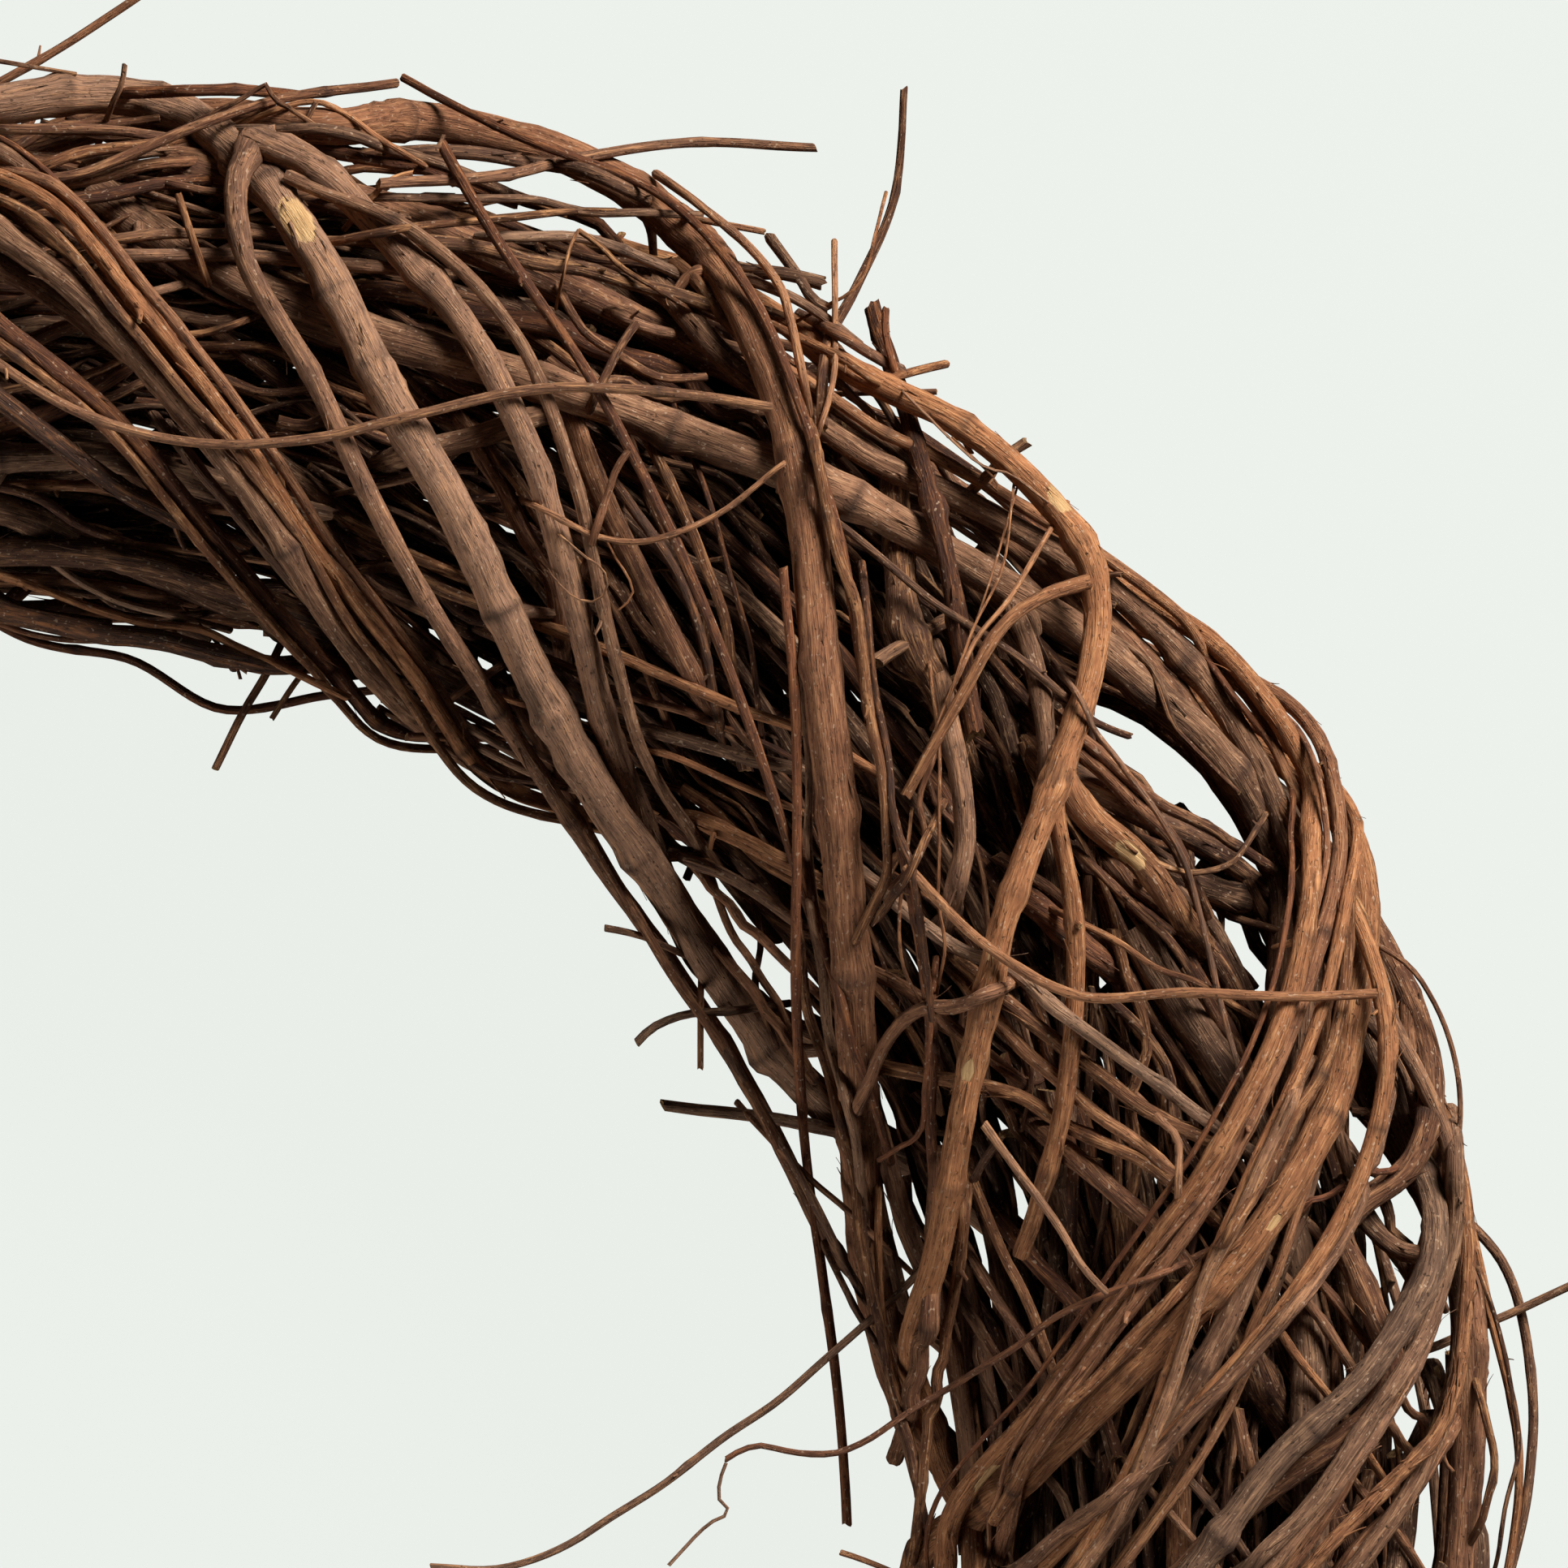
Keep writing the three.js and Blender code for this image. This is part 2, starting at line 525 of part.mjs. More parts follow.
// A core cane and the side shoot that runs on beside it
function coreChains(core, draw) {
  const pointAt = (clock, aside, rise) => {
    const [slow, quick] = CORE_SWINGS;
    const swing = slow.size * Math.sin(clock * slow.pace * RAD + core.turn);
    const ripple = quick.size * Math.sin(clock * quick.pace * RAD + core.from);
    const turn = core.turn + core.drift * clock + swing + ripple;
    return ringPoint(core.from + clock, turn + aside, core.out + rise);
  };
  const trunkPoints = [];
  for (let clock = 0; clock <= core.span; clock += POINT_EVERY) trunkPoints.push(pointAt(clock, 0, 0));
  const trunk = makeChain(trunkPoints, CORE_STEP, [core.width, core.width * CORE_TAPER], THIN_SIDES, draw);
  const fork = CORE_FORK[0] + (CORE_FORK[1] - CORE_FORK[0]) * draw();
  const root = pointAt(fork, 0, 0);
  const shootPoints = [root];
  for (let clock = fork + POINT_EVERY; clock <= fork + CORE_SHOOT; clock += POINT_EVERY) {
    const away = Math.min(1, (clock - fork) / SHOOT_RUN);
    shootPoints.push(pointAt(clock, CORE_SHOOT_ASIDE * away, CORE_SHOOT_RISE * away));
  }
  const shootWidths = SHOOT_WIDTHS.map((share) => share * core.width);
  const shoot = makeChain(shootPoints, CORE_STEP, shootWidths, TWIG_SIDES, draw);
  shoot.parent = forkOf(trunk, root);
  return [trunk, shoot];
}

const EVEN_LINES = 1e-9; // below which two runs are taken as parallel

// Nearest points of two straight runs: how far along each, and the way from the second to the first
function nearest(a0, a1, b0, b1) {
  const u = a1.clone().sub(a0);
  const v = b1.clone().sub(b0);
  const w = a0.clone().sub(b0);
  const uu = u.dot(u);
  const uv = u.dot(v);
  const vv = v.dot(v);
  const uw = u.dot(w);
  const vw = v.dot(w);
  const flat = uu * vv - uv * uv;
  let s = flat > EVEN_LINES ? THREE.MathUtils.clamp((uv * vw - vv * uw) / flat, 0, 1) : 0.5;
  let t = THREE.MathUtils.clamp((uv * s + vw) / vv, 0, 1);
  s = THREE.MathUtils.clamp((uv * t - uw) / uu, 0, 1);
  t = THREE.MathUtils.clamp((uv * s + vw) / vv, 0, 1);
  const way = w.addScaledVector(u, s).addScaledVector(v, -t);
  return { s, t, way };
}

// True where an arm still runs inside the cane it grows from
function atFork(a, i, b, j) {
  const near = (arm, armRing, trunk, ring) =>
    arm.parent?.chain === trunk && armRing < ROOT_RUNS && Math.abs(arm.parent.ring - ring) < FORK_RUNS;
  const twins = a.parent && a.parent.chain === b.parent?.chain && i < ROOT_RUNS && j < ROOT_RUNS;
  return near(a, i, b, j) || near(b, j, a, i) || twins;
}

// Every pair of runs close enough to matter for the next few rounds
function closePairs(chains, margin) {
  const runs = [];
  chains.forEach((chain) => {
    for (let i = 0; i + 1 < chain.spots.length; i += 1) {
      const box = new THREE.Box3().setFromPoints([chain.spots[i], chain.spots[i + 1]]);
      box.expandByScalar(chain.radii[i] + margin / 2);
      runs.push({ chain, i, box });
    }
  });
  runs.sort((p, q) => p.box.min.x - q.box.min.x);
  const pairs = [];
  for (let m = 0; m < runs.length; m += 1) {
    for (let n = m + 1; n < runs.length && runs[n].box.min.x <= runs[m].box.max.x; n += 1) {
      const p = runs[m];
      const q = runs[n];
      const kin = p.chain === q.chain && Math.abs(p.i - q.i) < KIN_RUNS;
      if (!kin && p.box.intersectsBox(q.box) && !atFork(p.chain, p.i, q.chain, q.i)) pairs.push([p, q]);
    }
  }
  return pairs;
}

// The widest a run of cane gets
function runRadius({ chain, i }) {
  const swell = chain.knots.has(i) ? KNOT_SWELL : 1;
  return swell * Math.max(chain.radii[i], chain.radii[i + 1]);
}

// How far two runs are from lying together, less than nothing where they cross, and how that is measured
function gapOf([p, q]) {
  const [a0, a1] = [p.chain.spots[p.i], p.chain.spots[p.i + 1]];
  const [b0, b1] = [q.chain.spots[q.i], q.chain.spots[q.i + 1]];
  const { s, t, way } = nearest(a0, a1, b0, b1);
  const gap = way.length() - runRadius(p) - runRadius(q) - TOUCH_GAP;
  return { gap, ends: [a0, a1, b0, b1], shares: [1 - s, s, t - 1, -t], way };
}

// Parts two runs that cross, or draws them together by some share of the gap where it is within span
function ease(pair, drawIn, span) {
  const { gap, ends, shares, way } = gapOf(pair);
  if (gap > span || (gap > 0 && drawIn === 0)) return;
  const total = shares.reduce((sum, share) => sum + share * share, 0);
  const step = (-gap * (gap < 0 ? 1 : drawIn)) / total;
  way.z *= SLIDE;
  way.normalize();
  ends.forEach((end, i) => end.addScaledVector(way, step * shares[i]));
}

// For each cane that touches no other, the pair of runs where it comes nearest to one
function findSeats(canes) {
  const caneOf = new Map(canes.flatMap((cane) => cane.chains.map((chain) => [chain, cane])));
  const best = new Map(canes.map((cane) => [cane, { gap: SEAT_REACH }]));
  for (const pair of closePairs([...caneOf.keys()], SEAT_REACH)) {
    const owners = pair.map((run) => caneOf.get(run.chain));
    if (owners[0] === owners[1]) continue;
    const { gap } = gapOf(pair);
    owners.filter((cane) => gap < best.get(cane).gap).forEach((cane) => best.set(cane, { gap, pair }));
  }
  return [...best.values()].filter(({ gap, pair }) => pair && gap > SEATED).map(({ pair }) => pair);
}

function keepOffFloor(chain) {
  chain.spots.forEach((spot, i) => {
    const carries = chain.rest.includes(i);
    const low = carries ? chain.radii[i] - REST_SINK : chain.radii[i] + FLOOR_GAP;
    spot.z = carries ? low : Math.max(spot.z, low);
  });
}

// Draws each cane back to where it belongs and evens out how far it strays from there
function pullHome(chain, pull, even) {
  const stray = chain.spots.map((spot, i) => spot.clone().sub(chain.home[i]));
  chain.spots.forEach((spot, i) => {
    const before = stray[Math.max(0, i - 1)];
    const after = stray[Math.min(stray.length - 1, i + 1)];
    const mean = before.clone().add(after).multiplyScalar(0.5);
    const eased = stray[i].clone().lerp(mean, even).multiplyScalar(1 - pull);
    spot.copy(chain.home[i]).add(eased);
  });
}

// Keeps a cane over its route as seen from above, and leaves its height alone
function keepOverRoute(chain) {
  chain.spots.forEach((spot, i) => {
    spot.x += FACE_HOLD * (chain.home[i].x - spot.x);
    spot.y += FACE_HOLD * (chain.home[i].y - spot.y);
  });
}

function joinArms(chains) {
  for (const chain of chains) {
    if (!chain.parent) continue;
    const { spots } = chain.parent.chain;
    const { ring, share } = chain.parent;
    chain.spots[0].lerpVectors(spots[ring], spots[ring + 1], share);
  }
}

// An upright post no cane comes through. It is not built.
function makePost([x, y, half]) {
  const home = [new THREE.Vector3(x, y, POST_FOOT), new THREE.Vector3(x, y, POST_TOP)];
  const spots = home.map((spot) => spot.clone());
  return { spots, home, radii: [half, half], knots: new Set(), parent: null, isPost: true };
}

function settle(canes) {
  const chains = canes.flatMap((cane) => cane.chains);
  const posts = SEE_THROUGH.map(makePost);
  let pairs = [];
  let seats = [];
  const rounds = SETTLE_ROUNDS + CLEAR_ROUNDS;
  for (let round = 0; round < rounds; round += 1) {
    const clearing = round >= SETTLE_ROUNDS;
    if (round % PAIR_ROUNDS === 0) pairs = closePairs([...chains, ...posts], PAIR_REACH);
    if (round % SEAT_ROUNDS === 0) seats = findSeats(canes);
    if (!clearing) {
      const ageing = 1 - round / SETTLE_ROUNDS;
      chains.forEach((chain) => pullHome(chain, HOME_PULL * ageing, EVEN_FIRST * ageing + EVEN_LAST));
    }
    if (round < rounds - LAST_ROUNDS) {
      chains.filter((chain) => chain.onFace).forEach(keepOverRoute);
      seats.forEach((pair) => ease(pair, SEAT_DRAW_IN, SEAT_REACH));
    }
    for (const pair of pairs) {
      const partOnly = clearing || pair.some((run) => run.chain.isPost);
      ease(pair, partOnly ? 0 : DRAW_IN, REACH);
    }
    posts.forEach((post) => post.spots.forEach((spot, i) => spot.copy(post.home[i])));
    joinArms(chains);
    chains.forEach(keepOffFloor);
  }
}

// Marks the lowest run of cane near each carrying clock angle
function chooseRests(chains) {
  for (const clock of REST_CLOCKS) {
    let lowest = { height: Infinity };
    for (const chain of chains.filter((c) => c.sides > TWIG_SIDES && !c.parent)) {
      for (let i = 1; i + 2 < chain.spots.length; i += 1) {
        const [a, b] = [chain.home[i], chain.home[i + 1]];
        const off = Math.abs(Math.atan2(a.x, a.y) / RAD - (clock > 180 ? clock - 360 : clock));
        const height = Math.max(a.z, b.z) - chain.radii[i];
        if (off < REST_SPREAD && height < lowest.height) lowest = { height, chain, i };
      }
    }
    lowest.chain.rest.push(lowest.i, lowest.i + 1);
    lowest.chain.knots.delete(lowest.i);
  }
}

// The rings a cane is drawn by: its own, and three more over each knot
function drawnRings({ spots, radii, knots, rest }) {
  const rings = [];
  spots.forEach((spot, i) => {
    rings.push({ spot, radius: radii[i], worn: rest.includes(i) });
    if (!knots.has(i)) return;
    const length = spot.distanceTo(spots[i + 1]);
    const radius = (radii[i] + radii[i + 1]) / 2;
    [[-1, 1], [0, KNOT_SWELL], [1, 1]].forEach(([way, swell]) => {
      const at = spot.clone().lerp(spots[i + 1], 0.5 + (way * KNOT_HALF) / length);
      rings.push({ spot: at, radius: radius * swell, worn: false });
    });
  });
  return rings;
}

// The outline of a tube ring by ring, with a flat end at each end. Carrying rings are worn flat at
// the table.
function tube(chain) {
  const { sides } = chain;
  const rings = drawnRings(chain);
  const spots = rings.map((ring) => ring.spot);
  const vertices = [];
  rings.forEach(({ spot, radius, worn }, i) => {
    const back = spots[Math.max(0, i - 1)];
    const on = spots[Math.min(spots.length - 1, i + 1)];
    const along = on.clone().sub(back).normalize();
    const up = UP.clone().addScaledVector(along, -along.z).normalize();
    const side = along.clone().cross(up);
    for (let k = 0; k < sides; k += 1) {
      const angle = ((k + 0.5) * 2 * Math.PI) / sides;
      const point = spot.clone().addScaledVector(up, -radius * Math.cos(angle));
      point.addScaledVector(side, radius * Math.sin(angle));
      if (worn && point.z < radius / 2) point.z = 0;
      vertices.push(point);
    }
  });
  const first = vertices.push(spots[0].clone()) - 1;
  const last = vertices.push(spots[spots.length - 1].clone()) - 1;
  const faces = [];
  const corner = (i, k) => i * sides + (k % sides);
  for (let i = 0; i + 1 < spots.length; i += 1) {
    for (let k = 0; k < sides; k += 1) {
      faces.push([corner(i, k), corner(i + 1, k + 1), corner(i, k + 1)]);
      faces.push([corner(i, k), corner(i + 1, k), corner(i + 1, k + 1)]);
    }
  }
  for (let k = 0; k < sides; k += 1) {
    faces.push([first, corner(0, k), corner(0, k + 1)]);
    faces.push([last, corner(spots.length - 1, k + 1), corner(spots.length - 1, k)]);
  }
  return { vertices, faces };
}

function toGeometry({ vertices, faces }) {
  const geometry = new THREE.BufferGeometry();
  const numbers = vertices.flatMap((v) => [v.x, v.y, v.z]);
  geometry.setAttribute("position", new THREE.Float32BufferAttribute(numbers, 3));
  geometry.setIndex(faces.flat());
  geometry.computeVertexNormals();
  return geometry;
}

// Joins a cane and its arms into one solid
function fuse(shapes, wasm) {
  const solids = shapes.map(({ vertices, faces }) => new wasm.Manifold(new wasm.Mesh({
    numProp: 3,
    vertProperties: new Float32Array(vertices.flatMap((v) => [v.x, v.y, v.z])),
    triVerts: new Uint32Array(faces.flat()),
  })));
  const { vertProperties, triVerts, numProp } = solids.reduce((whole, part) => whole.add(part)).getMesh();
  const vertices = [];
  for (let i = 0; i < vertProperties.length; i += numProp) {
    vertices.push(new THREE.Vector3(vertProperties[i], vertProperties[i + 1], vertProperties[i + 2]));
  }
  const faces = [];
  for (let i = 0; i < triVerts.length; i += 3) faces.push([triVerts[i], triVerts[i + 1], triVerts[i + 2]]);
  return { vertices, faces };
}

const wasm = await Module();
wasm.setup();
const draw = makeDraw(SEED);
const canes = [];
CORE_CANES.forEach((core, i) => {
  canes.push({ name: `core_cane_${i + 1}`, bark: core.bark, chains: coreChains(core, draw) });
});
WRAP_GROUPS.forEach((group, g) => {
  group.turns.forEach((_, i) => {
    canes.push({ name: `wrap_${g + 1}_${i + 1}`, bark: group.bark[i], chains: wrapChains(group, i, draw) });
  });
});
for (const cane of [...FACE_CANES, ...FAR_TWIGS]) {
  canes.push({ name: cane.name, bark: cane.bark, chains: faceChains(cane, draw) });
}
chooseRests(canes.flatMap((cane) => cane.chains));
settle(canes);

const wreath = new THREE.Group();
wreath.name = "wreath_base";
for (const cane of canes) {
  const shapes = cane.chains.map(tube);
  const shape = shapes.length > 1 ? fuse(shapes, wasm) : shapes[0];
  const mesh = new THREE.Mesh(toGeometry(shape), BARKS[cane.bark]);
  mesh.name = cane.name;
  wreath.add(mesh);
}

export default wreath;
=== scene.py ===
"""Grapevine wreath base: dried vine canes with bark, knots, cut ends and tendrils, lying flat."""

import json
import math

import bpy
import numpy as np
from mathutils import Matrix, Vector
from mathutils.kdtree import KDTree


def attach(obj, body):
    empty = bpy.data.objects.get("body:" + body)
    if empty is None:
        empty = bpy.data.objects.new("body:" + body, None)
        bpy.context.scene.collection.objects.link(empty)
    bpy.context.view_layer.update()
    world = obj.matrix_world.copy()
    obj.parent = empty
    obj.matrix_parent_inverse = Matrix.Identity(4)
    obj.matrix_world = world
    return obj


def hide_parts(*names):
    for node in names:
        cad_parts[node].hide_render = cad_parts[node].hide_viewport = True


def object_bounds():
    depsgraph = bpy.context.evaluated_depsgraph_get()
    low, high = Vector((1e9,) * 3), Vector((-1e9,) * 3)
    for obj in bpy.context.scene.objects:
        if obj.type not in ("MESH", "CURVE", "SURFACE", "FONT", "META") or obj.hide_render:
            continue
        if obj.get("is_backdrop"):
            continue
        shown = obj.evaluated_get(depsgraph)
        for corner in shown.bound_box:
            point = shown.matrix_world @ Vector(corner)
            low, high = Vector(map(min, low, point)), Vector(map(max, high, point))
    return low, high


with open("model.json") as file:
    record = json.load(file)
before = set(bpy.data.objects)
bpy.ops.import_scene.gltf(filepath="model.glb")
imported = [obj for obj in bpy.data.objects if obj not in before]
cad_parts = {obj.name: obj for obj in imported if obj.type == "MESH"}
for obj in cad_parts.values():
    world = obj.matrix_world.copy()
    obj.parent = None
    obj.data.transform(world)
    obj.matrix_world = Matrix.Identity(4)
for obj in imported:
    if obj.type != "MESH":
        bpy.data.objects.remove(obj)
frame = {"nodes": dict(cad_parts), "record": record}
cad_low, cad_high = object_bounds()

MM = 0.001

# The ring and its bundle, in metres, as the solids have them
RING_RADIUS = 184 * MM
HALF_WIDTH = 43 * MM
HALF_DEPTH = 38 * MM
MID_HEIGHT = 42 * MM

# The photograph's frame: its middle and half its side on the wreath, in metres
VIEW_MIDDLE = (115.1 * MM, 118.6 * MM)
VIEW_HALF = 122.7 * MM
VIEW_HEIGHT = 58 * MM  # of the canes that the frame's size is measured on
LENS_MM = 300
SENSOR_MM = 36
# The box that the photograph shows close up: x, y and z
SEEN_CLOSE = np.array([[-12, 245], [-12, 242], [22, 120]]) * MM

SEED = 2906

# The table's colour, sRGB
PALE_GROUND = "#edf1ec"


def linear(code, strength=1.0):
    """An sRGB hex colour as linear RGBA."""
    parts = [int(code[i : i + 2], 16) / 255 for i in (1, 3, 5)]
    return tuple(
        strength * (c / 12.92 if c <= 0.04045 else ((c + 0.055) / 1.055) ** 2.4)
        for c in parts
    ) + (1.0,)


def unit(v):
    """Vectors at length one."""
    return v / np.maximum(np.linalg.norm(v, axis=-1, keepdims=True), 1e-12)


def seen_close(points):
    """True for points in the box that the photograph shows close up."""
    return np.all((points > SEEN_CLOSE[:, 0]) & (points < SEEN_CLOSE[:, 1]), axis=-1)


def off_spot(points, x, y):
    """How far points are from a spot given in mm, as seen from above."""
    return np.hypot(points[:, 0] - x * MM, points[:, 1] - y * MM)


# Reading the canes back from the solids

# The middle corner of a cane's flat end: how many edges leave it, and how uneven they may be
END_EDGES = (4, 6)
EDGE_SPREAD = 0.03
EDGE_OFFSET = 0.05
# An arm joins its trunk at the spot that costs least: how far aside it is, and a share of how far ahead
JOIN_AHEAD = 4 * MM  # of the arm's last ring, at least
AHEAD_COST = 0.25
NO_JOIN = 1.0  # the cost of spots that aren't ahead, in metres


def corners_of(solid):
    """A solid's corners, and for each the set of corners it shares an edge with."""
    mesh = solid.data
    raw = np.empty(len(mesh.vertices) * 3)
    mesh.vertices.foreach_get("co", raw)
    corners, index = np.unique(np.round(raw.reshape(-1, 3), 6), axis=0, return_inverse=True)
    index = index.ravel()
    near = [set() for _ in corners]
    mesh.calc_loop_triangles()
    for triangle in mesh.loop_triangles:
        a, b, c = (int(index[i]) for i in triangle.vertices)
        near[a] |= {b, c}
        near[b] |= {a, c}
        near[c] |= {a, b}
    return corners, near


def is_end(i, corners, near):
    """True for the middle corner of a cane's flat end: its neighbours lie evenly round it."""
    if not END_EDGES[0] <= len(near[i]) <= END_EDGES[1]:
        return False
    edges = corners[list(near[i])] - corners[i]
    lengths = np.linalg.norm(edges, axis=1)
    even = lengths.std() < EDGE_SPREAD * lengths.mean()
    return even and np.linalg.norm(edges.mean(0)) < EDGE_OFFSET * lengths.mean()


def runs_of(solid):
    """Each run of cane from an end: its sides, ring centres, ring radii, and if it goes right through."""
    corners, near = corners_of(solid)
    runs = []
    for end in (i for i in range(len(corners)) if is_end(i, corners, near)):
        sides = len(near[end])
        seen, layer = {end}, set(near[end])
        centres, radii = [], []
        while len(layer) == sides:
            ring = corners[list(layer)]
            centres.append(ring.mean(0))
            radii.append(np.linalg.norm(ring - ring.mean(0), axis=1).mean())
            seen |= layer
            layer = set().union(*(near[i] for i in layer)) - seen
        runs.append((sides, np.array(centres), np.array(radii), len(layer) == 1))
    return runs


def canes_of(solid):
    """The trunk of a node and its arms, each as (points, radii); an arm starts inside the trunk."""
    runs = sorted(runs_of(solid), key=lambda run: -run[0])
    if runs[0][3]:
        return [runs[0][1:3]]
    (_, points_a, radii_a, _), (_, points_b, radii_b, _) = runs[:2]
    trunk = np.vstack([points_a, points_b[::-1]])
    canes = [(trunk, np.concatenate([radii_a, radii_b[::-1]]))]
    fine = smooth_line(trunk, 2 * MM)
    for _, points, radii, _ in runs[2:]:
        way = unit(points[-1] - points[-2])
        ahead = (fine - points[-1]) @ way
        aside = np.linalg.norm(fine - points[-1] - ahead[:, None] * way, axis=1)
        root = fine[np.where(ahead > JOIN_AHEAD, aside + AHEAD_COST * ahead, NO_JOIN).argmin()]
        canes.append((np.vstack([points, root])[::-1], np.append(radii, radii[-1])[::-1]))
    return canes


# Lines and noise


def lengths_along(points):
    """How far along a line each of its points is."""
    return np.concatenate([[0.0], np.cumsum(np.linalg.norm(np.diff(points, axis=0), axis=1))])


def smooth_line(points, step):
    """A smooth line through points, in even steps."""
    far = lengths_along(points)
    slope = np.gradient(points, far, axis=0)
    spots = np.linspace(0, far[-1], max(4, round(far[-1] / step) + 1))
    i = np.clip(np.searchsorted(far, spots, "right") - 1, 0, len(far) - 2)
    span = (far[i + 1] - far[i])[:, None]
    u = (spots - far[i])[:, None] / span
    return (
        (2 * u**3 - 3 * u**2 + 1) * points[i]
        + (u**3 - 2 * u**2 + u) * span * slope[i]
        + (3 * u**2 - 2 * u**3) * points[i + 1]
        + (u**3 - u**2) * span * slope[i + 1]
    )


def at_spots(line, far, spots):
    """The points of a line at so many lengths along it."""
    return np.stack([np.interp(spots, far, line[:, k]) for k in range(3)], 1)


def graded_line(points, fine, coarse):
    """A smooth line through points, in fine steps where it is seen close up and coarse ones elsewhere."""
    dense = smooth_line(points, 1 * MM)
    close = seen_close(dense)
    far = lengths_along(dense)
    count = np.concatenate([[0], np.cumsum(np.diff(far) / np.where(close[1:], fine, coarse))])
    spots = np.linspace(0, count[-1], max(4, round(count[-1]) + 1))
    return at_spots(dense, count, spots), close.any()


def eased(share):
    """A share from 0 to 1 that starts and ends gently."""
    return share * share * (3 - 2 * share)


def wander(rng, far, step):
    """Smooth noise along a line, from -1 to 1, one turn of mind per step."""
    draws = rng.uniform(-1, 1, int(far[-1] / step) + 3)
    at = far / step
    i = at.astype(int)
    blend = eased(at - i)
    return draws[i] * (1 - blend) + draws[i + 1] * blend


def wall_noise(rng, far, turns, cells_round, cell_length):
    """Smooth noise over a cane's wall, from -1 to 1, that closes on itself round the cane."""
    grid = rng.uniform(-1, 1, (int(far[-1] / cell_length) + 3, cells_round))
    y = far / cell_length
    i = y.astype(int)
    fy = eased(y - i)[:, None]
    x = turns * cells_round
    j = np.floor(x).astype(int)
    fx = eased(x - j)
    j0, j1 = j % cells_round, (j + 1) % cells_round
    low = grid[i][:, j0] * (1 - fx) + grid[i][:, j1] * fx
    high = grid[i + 1][:, j0] * (1 - fx) + grid[i + 1][:, j1] * fx
    return low * (1 - fy) + high * fy


def bell(distance, reach):
    """1 at no distance, falling off smoothly over a reach."""
    return np.exp(-((distance / reach) ** 2))


def frames_along(points):
    """Each point's way along, and two ways square to it that don't twist much."""
    along = unit(np.gradient(points, axis=0))
    axes = np.eye(3)
    base = axes[np.abs(along @ axes.T).max(0).argmin()]
    up = unit(base - (along @ base)[:, None] * along)
    return along, up, np.cross(along, up)


# Building canes

# Painted shade: inside the bundle the bark is painted darker, how far out that starts, and how far in it
# grows
INNER_SHADE_FROM = 0.96
INNER_SHADE_OVER = 0.3
# Hollows in the face where the bark is painted darkest, as painted shade: x, y and reach in mm, and how far
# out it starts
SHADED_HOLLOWS = [
    (33, 187, 13, 1.05), (-3, 183, 11, 1.0), (57, 188, 9, 1.03), (67, 164, 10, 1.05),
    (97, 161, 15, 1.07), (95, 146, 15, 1.07), (106, 143, 10, 1.05), (138, 144, 11, 1.04),
    (150, 125, 12, 1.07), (173, 130, 8, 1.06), (184, 108, 17, 1.16), (181, 92, 16, 1.13),
    (187, 73, 11, 1.08), (160, 108, 8, 1.0), (138, 49, 8, 1.03), (163, 51, 10, 1.05), (173, 53, 8, 1.0),
    (209, 52, 11, 1.05), (208, 37, 9, 1.02), (185, 24, 10, 1.05), (174, 12, 9, 1.02), (197, 14, 7, 1.0),
    (185, 1, 8, 1.02), (66, 163, 8, 1.02), (30, 172, 9, 1.0),
]
HOLLOW_SHADE_OVER = 0.16
HOLLOW_SHADE_SOFTNESS = 1.15  # by what its reach is stretched for a soft rim
LOWEST = 0.1 * MM  # of any bark above the table


def how_far_out(points):
    """How far points are from the middle of the bundle, as a share of its half-width and half-depth."""
    across = (np.hypot(points[:, 0], points[:, 1]) - RING_RADIUS) / HALF_WIDTH
    return np.hypot(across, (points[:, 2] - MID_HEIGHT) / HALF_DEPTH)


